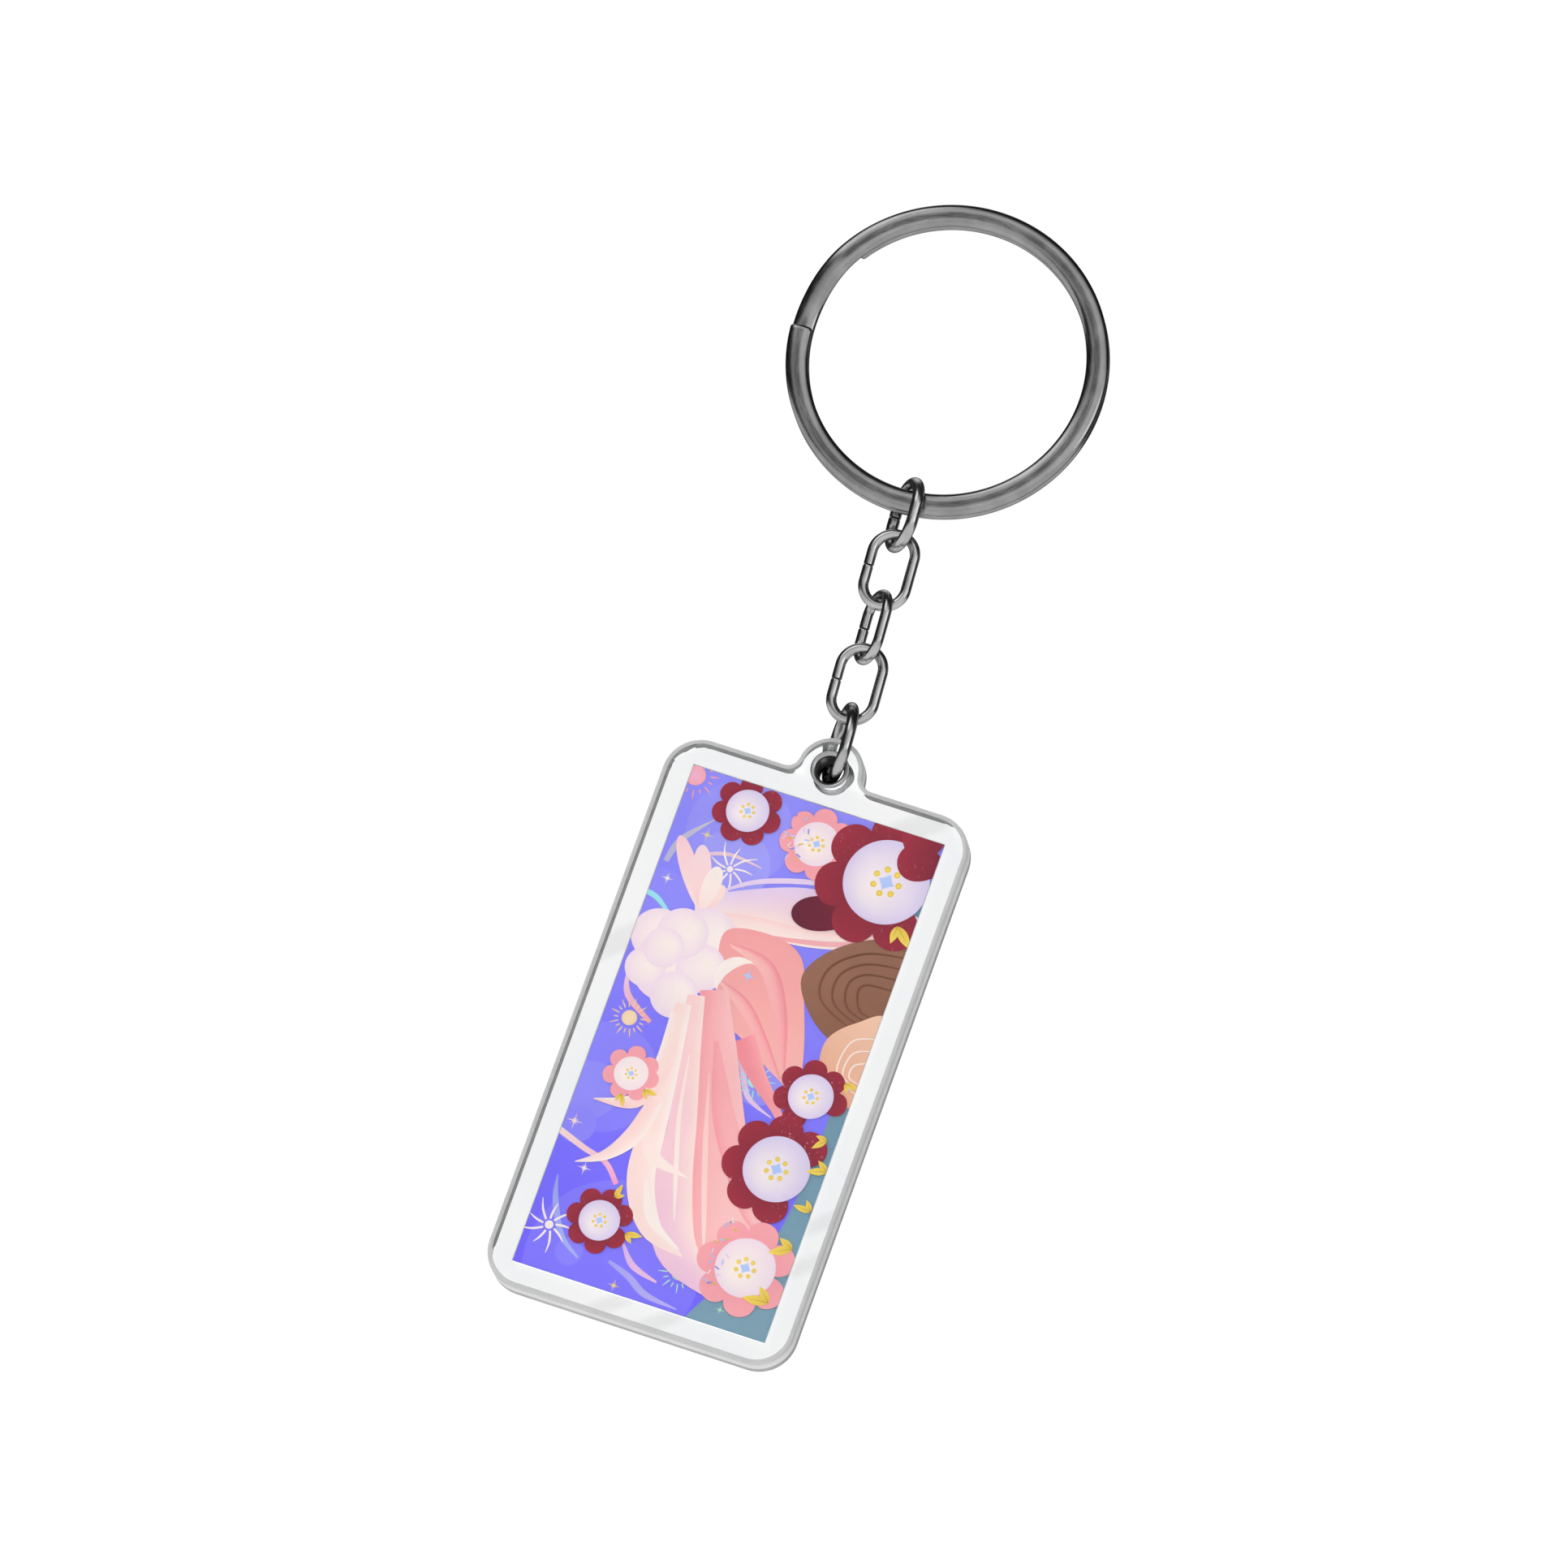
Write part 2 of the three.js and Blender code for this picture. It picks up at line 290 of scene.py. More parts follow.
class Kit:
    """Short makers of nodes for one node tree. Values may be numbers, tuples or other nodes' sockets."""

    def __init__(self, tree, shader=None):
        self.tree, self.shader = tree, shader

    def put(self, socket, value):
        if isinstance(value, bpy.types.NodeSocket):
            self.tree.links.new(value, socket)
        else:
            socket.default_value = value

    def shade(self, name, value):
        self.put(self.shader.inputs[name], value)

    def node(self, kind, inputs=None, **settings):
        made = self.tree.nodes.new(kind)
        for key, value in settings.items():
            setattr(made, key, value)
        for key, value in (inputs or {}).items():
            self.put(made.inputs[key], value)
        return made

    def object_place(self):
        return self.node("ShaderNodeTexCoord").outputs["Object"]

    def attribute(self, name):
        return self.node("ShaderNodeAttribute", attribute_name=name).outputs

    def stretch(self, vector, scale, turn=0.0):
        inputs = {"Vector": vector, "Rotation": (0.0, turn, 0.0), "Scale": scale}
        return self.node("ShaderNodeMapping", inputs).outputs[0]

    def noise(self, place, scale, detail):
        inputs = {"Vector": place, "Scale": scale, "Detail": detail}
        return self.node("ShaderNodeTexNoise", inputs).outputs[0]

    def calc(self, operation, a, b=0.0):
        return self.node("ShaderNodeMath", {0: a, 1: b}, operation=operation).outputs[0]

    def blend(self, a, b, share):
        """Two heights or tones added, with b's share given."""
        return self.calc("ADD", self.calc("MULTIPLY", a, 1 - share), self.calc("MULTIPLY", b, share))

    def ramp(self, value, low, high, out_low=0.0, out_high=1.0):
        inputs = {"Value": value, "From Min": low, "From Max": high, "To Min": out_low, "To Max": out_high}
        return self.node("ShaderNodeMapRange", inputs, interpolation_type="SMOOTHSTEP").outputs["Result"]

    def dot(self, vector, toward):
        inputs = {0: vector, 1: tuple(toward)}
        return self.node("ShaderNodeVectorMath", inputs, operation="DOT_PRODUCT").outputs["Value"]

    def mix(self, factor, a, b, blend="MIX"):
        inputs = {0: factor, 6: a, 7: b}
        return self.node("ShaderNodeMix", inputs, data_type="RGBA", blend_type=blend).outputs[2]

    def choose(self, flag, off, on):
        return self.node("ShaderNodeMix", {0: flag, 2: off, 3: on}, data_type="FLOAT").outputs[0]

    def grey(self, level):
        return self.node("ShaderNodeCombineColor", {0: level, 1: level, 2: level}).outputs[0]

    def bump(self, height, strength, distance):
        inputs = {"Height": height, "Strength": strength, "Distance": distance * MM}
        self.shade("Normal", self.node("ShaderNodeBump", inputs).outputs[0])


def linear(code):
    """A colour given as RRGGBB, as linear light."""
    parts = [int(code[i:i + 2], 16) / 255 for i in (0, 2, 4)]
    return tuple(p / 12.92 if p <= 0.04045 else ((p + 0.055) / 1.055) ** 2.4 for p in parts)


def new_material(name):
    material = bpy.data.materials.new(name)
    material.use_nodes = True
    tree = material.node_tree
    return material, Kit(tree, tree.nodes["Principled BSDF"])


# ---------------------------------------------------------------- materials
# Noise scales are per metre, and a bump's distance is in millimetres.


def plated_wire(name, dark, light, roughness):
    """Nickel-plated steel wire: drawing marks along it, and cloudy plating from dark to light."""
    material, kit = new_material(name)
    place = kit.object_place()
    marks = kit.noise(kit.stretch(kit.attribute("grain")["Vector"], (0.35, 9.0, 9.0)), 2.2, 4.0)
    clouds = kit.noise(place, 420.0, 3.0)
    pits = kit.noise(place, 5200.0, 2.0)
    dark, light = ((tone, tone, tone + BLUE_CAST, 1.0) for tone in (dark, light))
    kit.shade("Base Color", kit.mix(kit.ramp(kit.blend(clouds, marks, 0.4), 0.36, 0.66), dark, light))
    kit.shade("Metallic", 1.0)
    kit.shade("Specular Tint", (0.22, 0.22, 0.22, 1.0))
    worn = kit.blend(marks, clouds, 0.3)
    kit.shade("Roughness", kit.ramp(worn, 0.3, 0.7, roughness * 0.75, roughness * 1.35))
    kit.bump(kit.blend(marks, pits, 0.3), 0.12, 0.02)
    return material


def painted_reflection_streaks(kit, place, tint, streaks):
    """Painted reflections: slanted grey bands across the border round the print, multiplied into a tint."""

    def distance(axis, origin):
        """How far a place is from the origin along an axis of the tag."""
        toward = TAG_TO_ROW.to_3x3() @ Vector(axis)
        start = toward.dot(TAG_TO_ROW @ (Vector(origin) * MM))
        return kit.calc("SUBTRACT", kit.dot(place, toward), start)

    def outside(axis, size):
        off = kit.calc("ABSOLUTE", distance(axis, (0.0, 0.0, PRINT_CENTRE_Z)))
        return kit.calc("GREATER_THAN", off, size / 2 * MM)

    border = kit.calc("MAXIMUM", outside((1, 0, 0), PRINT_WIDTH), outside((0, 0, 1), PRINT_HEIGHT))
    corner = (-PRINT_WIDTH / 2, 0.0, PRINT_CENTRE_Z + PRINT_HEIGHT / 2)
    away = distance((REFLECTION_STREAK_LEAN[0], 0.0, -REFLECTION_STREAK_LEAN[1]), corner)
    # Each streak is a painted reflection: a grey band tinted into the border's colour.
    for centre, width in streaks:
        off = kit.calc("ABSOLUTE", kit.calc("SUBTRACT", away, centre * MM))
        depth = kit.ramp(off, width * 0.3 * MM, width * 0.6 * MM, 1 - REFLECTION_STREAK_TONE, 0.0)
        reflection_shade = kit.calc("SUBTRACT", 1.0, kit.calc("MULTIPLY", depth, border))
        tint = kit.mix(1.0, tint, kit.grey(reflection_shade), "MULTIPLY")
    return tint


def clear_acrylic(name, streaks=()):
    """Polished acrylic with faint hairline scratches, which only change its roughness; when streaks are
    given, its border also carries painted reflection streaks.
    """
    material, kit = new_material(name)
    place = kit.object_place()
    hairlines = kit.noise(kit.stretch(place, (60.0, 900.0, 2600.0), turn=0.7), 1.0, 2.0)
    haze = kit.noise(place, 90.0, 3.0)
    tint = kit.mix(kit.ramp(haze, 0.3, 0.7), (0.965, 0.975, 0.98, 1.0), (0.99, 0.99, 0.99, 1.0))
    kit.shade("Base Color", painted_reflection_streaks(kit, place, tint, streaks))
    scratches = kit.ramp(hairlines, 0.66, 0.78, 0.0, 0.05)
    kit.shade("Roughness", kit.calc("ADD", scratches, kit.ramp(haze, 0.35, 0.75, 0.004, 0.02)))
    kit.shade("Transmission Weight", 1.0)
    kit.shade("IOR", ACRYLIC_IOR)
    return material


def satin_edge(name, tone):
    """The plates' sawn edges: satin acrylic with fine saw marks across its thickness, in a tone given for
    each face as painted shade.
    """
    material, kit = new_material(name)
    place = kit.object_place()
    marks = kit.noise(kit.stretch(place, (7000.0, 300.0, 7000.0)), 1.0, 2.0)
    haze = kit.noise(place, 240.0, 3.0)
    level = kit.calc("ADD", kit.ramp(marks, 0.3, 0.7, tone * 0.97, tone * 1.03),
                     kit.ramp(haze, 0.3, 0.7, -0.02, 0.02))
    kit.shade("Base Color", kit.grey(level))
    kit.shade("Roughness", kit.ramp(marks, 0.3, 0.7, 0.4, 0.55))
    kit.shade("Transmission Weight", 0.2)
    kit.shade("IOR", ACRYLIC_IOR)
    kit.bump(marks, 0.25, 0.02)
    return material


def printed_ink(name):
    """Ink on film: the painted colour, a fine print grain, and speckles where the paint asks for them."""
    material, kit = new_material(name)
    place = kit.object_place()
    ink = kit.attribute("ink")
    grain = kit.noise(place, 9000.0, 2.0)
    wash = kit.noise(place, 160.0, 3.0)
    dots = kit.noise(place, 3600.0, 3.0)
    spread = kit.noise(place, 260.0, 2.0)
    level = kit.calc("ADD", kit.ramp(grain, 0.3, 0.7, 0.975, 1.015), kit.ramp(wash, 0.3, 0.7, -0.02, 0.02))
    toned = kit.node("ShaderNodeVectorMath", {0: ink["Color"], "Scale": level}, operation="SCALE")
    mask = kit.calc("MULTIPLY", kit.ramp(dots, 0.6, 0.7), kit.ramp(spread, 0.45, 0.62))
    mask = kit.calc("MULTIPLY", kit.calc("MULTIPLY", mask, ink["Alpha"]), SPECKLE_STRENGTH)
    kit.shade("Base Color", kit.mix(mask, toned.outputs[0], (0.86, 0.42, 0.45, 1.0)))
    kit.shade("Roughness", kit.ramp(grain, 0.3, 0.7, 0.38, 0.5))
    kit.shade("Specular IOR Level", 0.05)
    return material


def white_card(name):
    """Uncoated card: off-white with fibres."""
    material, kit = new_material(name)
    place = kit.object_place()
    fibres = kit.noise(place, 2400.0, 5.0)
    pulp = kit.noise(place, 300.0, 4.0)
    tint = kit.mix(kit.ramp(pulp, 0.3, 0.7), (0.84, 0.84, 0.82, 1.0), (0.91, 0.91, 0.9, 1.0))
    kit.shade("Base Color", tint)
    kit.shade("Roughness", kit.ramp(fibres, 0.3, 0.7, 0.62, 0.8))
    kit.bump(fibres, 0.3, 0.03)
    return material


ring_metal = plated_wire("ring_metal", 0.24, 0.32, 0.18)
chain_metal = plated_wire("chain_metal", 0.36, 0.5, 0.2)
eyelet_metal = plated_wire("eyelet_metal", 0.32, 0.42, 0.24)
acrylic = clear_acrylic("clear_acrylic")
# The back plate's acrylic, with painted reflection streaks on its border.
reflection_streaked_acrylic = clear_acrylic("reflection_streaked_acrylic", REFLECTION_STREAKS)
POLISHED, BEVEL, SIDE, RIM = range(4)
# Three copies of one satin edge, each with its own painted shade.
edges = [satin_edge(name, tone) for name, tone in EDGE_PAINTED_SHADES]
print_ink = printed_ink("printed_ink")
card = white_card("white_card")


# ---------------------------------------------------------------- key ring and links


def split_ring_path(steps=720):
    """The wire's centreline: a front turn, a step back, and a second turn behind it."""
    sweep_deg = 720 - RING_JOG_DEG - RING_END_GAP_DEG
    offset = (COIL_THICKNESS + COIL_GAP) / 2
    path = []
    for i in range(steps + 1):
        turned = sweep_deg * i / steps
        jog = smoothstep(360 - RING_JOG_DEG, 360, turned)
        angle = math.radians(RING_CUT_DEG + turned)
        out = Vector((math.cos(angle), 0.0, math.sin(angle)))
        tangent = Vector((-math.sin(angle), 0.0, math.cos(angle)))
        centre = out * RING_MID + Vector((0.0, -offset + 2 * offset * jog, RING_CENTRE_Z))
        path.append((centre, Vector((0.0, 1.0, 0.0)), out, tangent))
    return path


def make_split_ring():
    section = oval(COIL_THICKNESS / 2, RING_BAND / 2, COIL_POWER)
    mesh = sweep("key_ring_wire", split_ring_path(), section, ends=0.3)
    new_object("key_ring_wire", mesh, ring_metal, "key_ring", "split_ring")


def link_path(wire, length, width, steps=144):
    """An oval with straight sides in the XZ plane, cut halfway down its -X side."""
    radius = (width - wire) / 2
    straight = length - width
    bend = math.pi * radius
    total = 2 * (bend + straight)
    path = []
    for i in range(steps + 1):
        s = LINK_SEAM / 2 + (total - LINK_SEAM) * i / steps
        if s < straight / 2:
            centre, out = Vector((-radius, 0, s)), Vector((-1, 0, 0))
        elif s < straight / 2 + bend:
            angle = math.pi - (s - straight / 2) / radius
            out = Vector((math.cos(angle), 0, math.sin(angle)))
            centre = out * radius + Vector((0, 0, straight / 2))
        elif s < 1.5 * straight + bend:
            centre, out = Vector((radius, 0, bend + straight - s)), Vector((1, 0, 0))
        elif s < 1.5 * straight + 2 * bend:
            angle = -(s - 1.5 * straight - bend) / radius
            out = Vector((math.cos(angle), 0, math.sin(angle)))
            centre = out * radius - Vector((0, 0, straight / 2))
        else:
            centre, out = Vector((-radius, 0, s - total)), Vector((-1, 0, 0))
        path.append((centre, Vector((0, 1, 0)), out, Vector((out.z, 0, -out.x))))
    return path


def make_links():
    for node, body, wire, width, length, turn in LINKS:
        low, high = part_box(node)
        section = circle(wire * WIRE_SHARE / 2, 28)
        mesh = sweep(node + "_wire", link_path(wire, length, width), section, ends=0.06)
        mesh.transform(Matrix.Translation((0, 0, (low[2] + high[2]) / 2))
                       @ Matrix.Rotation(math.radians(-turn), 4, "Z"))
        new_object(node + "_wire", mesh, chain_metal, body, node)


make_split_ring()
make_links()


# ---------------------------------------------------------------- eyelet and washer


def quarter(cx, cy, radius, start, steps=6):
    return [
        (cx + radius * math.cos(math.radians(start + 90 * i / steps)),
         cy + radius * math.sin(math.radians(start + 90 * i / steps)))
        for i in range(steps + 1)
    ]


def turned_piece(name, profile, node, segments=96):
    """A closed profile of (radius, y), turned around Y at the tag's hole."""
    rings = []
    for i in range(segments):
        angle = 2 * math.pi * i / segments
        rings.append([Vector((r * math.cos(angle), y, r * math.sin(angle))) * MM for r, y in profile])
    marks = [2 * math.pi * i / segments for i in range(segments)]
    mesh = mesh_from_rings(name, rings, closed_along=True, marks=marks)
    shade(mesh, 50)
    mesh.transform(TAG_TO_ROW)
    return new_object(name, mesh, eyelet_metal, "tag", node)


def make_eyelet():
    """A tube with a flared mouth at each end, a flat rim in front and a rolled lip behind."""
    tube = BORE_RADIUS + EYELET_WALL
    front = FRONT_Y - RIM_THICKNESS
    back = BACK_Y + WASHER_THICKNESS + RIM_THICKNESS
    front_seat = FRONT_Y - SEAT_GAP
    back_seat = BACK_Y + WASHER_THICKNESS + 2 * SEAT_GAP
    mouth = BORE_RADIUS + MOUTH_ROUND
    profile = quarter(mouth, front + MOUTH_ROUND, MOUTH_ROUND, 180)
    profile += quarter(RIM_RADIUS - RIM_EDGE, front + RIM_EDGE, RIM_EDGE, 270, 4)
    profile += [(RIM_RADIUS, front_seat), (tube, front_seat), (tube, back_seat), (LIP_RADIUS, back_seat)]
    profile += quarter(LIP_RADIUS - RIM_EDGE, back - RIM_EDGE, RIM_EDGE, 0, 4)
    profile += quarter(mouth, back - MOUTH_ROUND, MOUTH_ROUND, 90)
    turned_piece("eyelet_rim", profile, "eyelet")


def make_washer():
    inner = BORE_RADIUS + EYELET_WALL + SEAT_GAP
    front = BACK_Y + SEAT_GAP
    back = front + WASHER_THICKNESS
    profile = [(inner, back), (inner, front), (RIM_RADIUS - SKIN, front)]
    profile += quarter(RIM_RADIUS - WASHER_EDGE, back - WASHER_EDGE, WASHER_EDGE, 0, 4)
    turned_piece("eyelet_back_washer", profile, "eyelet_washer")


make_eyelet()
make_washer()


# ---------------------------------------------------------------- acrylic plates


def arc(cx, cy, radius, start, end, steps):
    """Points from start to end degrees, with the outward normal of the outline at each."""
    sign = 1 if end > start else -1
    points = []
    for i in range(steps + 1):
        angle = math.radians(start + (end - start) * i / steps)
        u, v = math.cos(angle), math.sin(angle)
        points.append((cx + radius * u, cy + radius * v, sign * u, sign * v))
    return points


def tag_outline():
    half = TAG_WIDTH / 2
    top = -HOLE_ABOVE_EDGE
    bottom = top - TAG_HEIGHT
    corner = TAG_CORNER
    fillet_z = top + LUG_FILLET
    fillet_x = math.sqrt((LUG_RADIUS + LUG_FILLET) ** 2 - fillet_z ** 2)
    lean = math.degrees(math.atan2(fillet_z, fillet_x))
    return (
        arc(half - corner, bottom + corner, corner, -90, 0, 14)
        + arc(half - corner, top - corner, corner, 0, 90, 14)
        + arc(fillet_x, fillet_z, LUG_FILLET, 270, 180 + lean, 10)
        + arc(0, 0, LUG_RADIUS, lean, 180 - lean, 36)[1:-1]
        + arc(-fillet_x, fillet_z, LUG_FILLET, -lean, -90, 10)
        + arc(-half + corner, top - corner, corner, 90, 180, 14)
        + arc(-half + corner, bottom + corner, corner, 180, 270, 14)
    )


def round_edge(face, side, radius, steps=6):
    """A quarter round from a flat face at y = face towards the side wall: rows of (inset, y)."""
    rows = []
    for i in range(steps + 1):
        angle = math.radians(90 * i / steps)
        rows.append((radius * (1 - math.sin(angle)), face + side * radius * (1 - math.cos(angle))))
    return rows


def front_rows():
    """The front plate's edge, from its front face to its back face: (inset, y, finish up to there)."""
    back = FRONT_Y + FRONT_THICKNESS
    facet = (FACET_WIDTH + OUTER_ROUND, FRONT_Y, POLISHED)
    bevel = [(inset, y, BEVEL) for inset, y in round_edge(FRONT_Y + FACET_DROP, 1, OUTER_ROUND)]
    wall = [(inset, y, SIDE) for inset, y in round_edge(back, -1, INNER_ROUND, 3)[::-1]]
    return [facet, *bevel, *wall]


def back_rows():
    """The back plate's edge, from its front face to its back face: (inset, y, finish up to there)."""
    front = FRONT_Y + FRONT_THICKNESS + BOND_GAP
    wall = [(inset, y, SIDE) for inset, y in round_edge(front, 1, INNER_ROUND, 3)]
    wall.append((0.0, BACK_Y - BACK_BAND, SIDE))
    rim = [(inset, y, RIM) for inset, y in round_edge(BACK_Y - FACET_DROP, -1, OUTER_ROUND)[::-1]]
    return [*wall, *rim, (FACET_WIDTH + OUTER_ROUND, BACK_Y, POLISHED)]


def make_plate(name, node, rows, plastic, pocket=False):
    bm = bmesh.new()
    outline = tag_outline()
    front, back = rows[0][1], rows[-1][1]
    rings = []
    for inset, y, _ in rows:
        inset += SKIN
        rings.append([bm.verts.new(((x - nx * inset) * MM, y * MM, (z - nz * inset) * MM))
                      for x, z, nx, nz in outline])
    holes = []
    for y in (front, back):
        holes.append([bm.verts.new((x * MM, y * MM, z * MM)) for x, z in circle(HOLE_RADIUS, 64)])

    def bridge(a, b, finish=POLISHED):
        for k in range(len(a)):
            n = (k + 1) % len(a)
            bm.faces.new((a[k], a[n], b[n], b[k])).material_index = finish

    def loop_edges(ring):
        found = []
        for k in range(len(ring)):
            pair = (ring[k], ring[(k + 1) % len(ring)])
            found.append(bm.edges.get(pair) or bm.edges.new(pair))
        return found

    for i in range(len(rings) - 1):
        bridge(rings[i], rings[i + 1], rows[i + 1][2])
    bridge(holes[0], holes[1])
    front_edges = loop_edges(rings[0]) + loop_edges(holes[0])
    if pocket:
        half_x = PRINT_WIDTH / 2 + POCKET_CLEARANCE
        half_z = PRINT_HEIGHT / 2 + POCKET_CLEARANCE
        corners = [(-half_x, -half_z), (half_x, -half_z), (half_x, half_z), (-half_x, half_z)]
        mouth, floor = (
            [bm.verts.new((x * MM, y * MM, (PRINT_CENTRE_Z + z) * MM)) for x, z in corners]
            for y in (front, front + POCKET_DEPTH)
        )
        bridge(mouth, floor)
        bm.faces.new(floor)
        front_edges += loop_edges(mouth)
    bmesh.ops.triangle_fill(bm, edges=front_edges, use_beauty=True)
    bmesh.ops.triangle_fill(bm, edges=loop_edges(rings[-1]) + loop_edges(holes[1]), use_beauty=True)
    bmesh.ops.recalc_face_normals(bm, faces=bm.faces)
    mesh = bpy.data.meshes.new(name)
    bm.to_mesh(mesh)
    bm.free()
    shade(mesh, 40)
    mesh.transform(TAG_TO_ROW)
    obj = new_object(name, mesh, plastic, "tag", node)
    for finish in edges:
        mesh.materials.append(finish)
    keep_flat_faces_flat(obj)


make_plate("front_cover", "front_plate", front_rows(), acrylic)
make_plate("back_cover", "back_plate", back_rows(), reflection_streaked_acrylic, pocket=True)


# ---------------------------------------------------------------- printed picture
# Flat shapes of ink, each level INK_STEP in front of the last. Shapes on one level are also set apart, by
# INK_SHARE for each of INK_TURNS in turn, so that one seldom shares a plane with another that it overlaps.
# The picture is a made-up dusk sky with clouds, suns, a moon, blossoms, leaves and dunes. Places are mm
# across from the print's left edge and mm down from its top edge, and turns are degrees from across to
# down. A corner is (across, down, red, green, blue, speckle).

SKY_TOP, SKY_FOOT, MIST = "9390FA", "7567FF", "B4B2F6"
CREAM, SHELL, BLUSH, ROSE, CORAL = "FCEFE8", "FCE2DA", "FCD3D0", "F8A8AE", "F28E98"
LILAC, PEARL, LAVENDER = "E6CFEC", "F8ECEE", "D9CDEC"
WINE, WINE_DEEP, PLUM = "A22F42", "7F2638", "692238"
CLAY, CLAY_DEEP, PEACH, SAND = "9C6F5B", "6F4632", "E9AE90", "F5C9AE"
GOLD, LEMON, TEAL, AQUA, MINT, ICE = "E5C452", "F9DC62", "6C92A9", "9FE3EE", "BFE8CE", "B4CBF8"


class Ink:
    """The flat faces of one printed object."""

    shapes = 0

    def __init__(self):
        self.corners, self.colours, self.faces, self.known = [], [], [], {}

    def face(self, level, corners):
        corners = cut_to_print(corners)
        if len(corners) < 3:
            return
        around = [self.corner(level, c) for c in corners]
        around = [c for i, c in enumerate(around) if c != around[i - 1]]
        if len(around) > 2 and len(set(around)) == len(around):
            self.faces.append(around)

    def corner(self, level, corner):
        key = (Ink.shapes, round(corner[0], 4), round(corner[1], 4))
        if key not in self.known:
            self.known[key] = len(self.corners)
            across, down = corner[:2]
            depth = level * INK_STEP + Ink.shapes % INK_TURNS * INK_SHARE
            self.corners.append(Vector((across - PRINT_WIDTH / 2, FILM_Y - depth,
                                        PRINT_CENTRE_Z + PRINT_HEIGHT / 2 - down)) * MM)
            self.colours.append(corner[2:])
        return self.known[key]

    def polygon(self, level, outline, colour):
        """Any simple outline, filled; colour is a function of place."""
        Ink.shapes += 1
        for triangle in tessellate_polygon([[Vector((x, d, 0)) for x, d in outline]]):
            self.face(level, [(*outline[i][:2], *colour(*outline[i][:2])) for i in triangle])

    def strips(self, level, rows):
        """Rows of corners joined by quads."""
        Ink.shapes += 1
        for before, after in zip(rows, rows[1:]):
            for k in range(len(before) - 1):
                self.face(level, [before[k], before[k + 1], after[k + 1], after[k]])

    def make(self, name, replaced=None):
        mesh = bpy.data.meshes.new(name)
        mesh.from_pydata(self.corners, [], self.faces)
        layer = mesh.color_attributes.new("ink", "FLOAT_COLOR", "POINT")
        for i, colour in enumerate(self.colours):
            layer.data[i].color = colour
        mesh.validate()
        bm = bmesh.new()
        bm.from_mesh(mesh)
        bmesh.ops.dissolve_degenerate(bm, dist=0.002 * MM, edges=bm.edges)
        for face in bm.faces:
            if face.normal.y > 0:
                face.normal_flip()
        bm.to_mesh(mesh)
        bm.free()
        mesh.transform(TAG_TO_ROW)
        return new_object(name, mesh, print_ink, "tag", replaced)


def cut_to_print(corners):
    """A convex shape without what lies outside the print."""
    for axis, sign, limit in ((0, 1, 0), (0, -1, PRINT_WIDTH), (1, 1, 0), (1, -1, PRINT_HEIGHT)):
        kept = []
        for i, here in enumerate(corners):
            last = corners[i - 1]
            a, b = sign * last[axis] + limit, sign * here[axis] + limit
            if (a >= 0) != (b >= 0):
                kept.append(tuple(p + (q - p) * a / (a - b) for p, q in zip(last, here)))
            if b >= 0:
                kept.append(here)
        corners = kept
    return corners


def blend_colours(a, b, share):
    return tuple(p + (q - p) * share for p, q in zip(a, b))


def flat(code):
    colour = (*linear(code), 0.0)
    return lambda x, d: colour


def fade(code_a, code_b, start, end, speckle=0.0):
    """A colour that goes from code_a at start to code_b at end."""
    a, b = (*linear(code_a), speckle), (*linear(code_b), speckle)
    along = (end[0] - start[0], end[1] - start[1])
    size = along[0] ** 2 + along[1] ** 2

    def colour(x, d):
        share = ((x - start[0]) * along[0] + (d - start[1]) * along[1]) / size
        return blend_colours(a, b, min(1.0, max(0.0, share)))

    return colour


sky = fade(SKY_TOP, SKY_FOOT, (6.0, 0.0), (0.0, PRINT_HEIGHT))


def through(under, code, share):
    """A see-through colour over another."""
    over = (*linear(code), 0.0)
    return lambda x, d: blend_colours(under(x, d), over, share)


def curve(points, closed=False, steps=7):
    """A smooth line through given points."""
    count = len(points)
    spans = count if closed else count - 1
    line = []
    for i in range(spans):
        if closed:
            p = [points[(i + k - 1) % count] for k in range(4)]
        else:
            p = [points[min(max(i + k - 1, 0), count - 1)] for k in range(4)]
        for s in range(steps):
            t = s / steps
            line.append(tuple(
                0.5 * (2 * b + (c - a) * t + (2 * a - 5 * b + 4 * c - e) * t * t
                       + (3 * b - a - 3 * c + e) * t ** 3)
                for a, b, c, e in zip(*p)
            ))
    if not closed:
        line.append(tuple(points[-1]))
    return line


def blob(art, level, points, colour):
    art.polygon(level, curve(points, closed=True), colour)


def disc(art, level, x, d, radius, centre, edge, light=(0.0, 0.0), bands=5, sides=56):
    """A disc that shades from its light spot to its edge."""
    inner, outer = (*linear(centre), 0.0), (*linear(edge), 0.0)
    rows = []
    for band in range(bands + 1):
        share = band / bands
        cx, cd = x + light[0] * radius * (1 - share), d + light[1] * radius * (1 - share)
        tone = blend_colours(inner, outer, share ** 1.6)
        rows.append([(cx + radius * share * math.cos(2 * math.pi * k / sides),
                      cd + radius * share * math.sin(2 * math.pi * k / sides), *tone)
                     for k in range(sides + 1)])
    art.strips(level, rows)


def haze(art, level, x, d, radius, code, share):
    """A see-through disc over the sky."""
    outline = [(x + radius * u, d + radius * v) for u, v in circle(1.0, 56)]
    art.polygon(level, outline, through(sky, code, share))


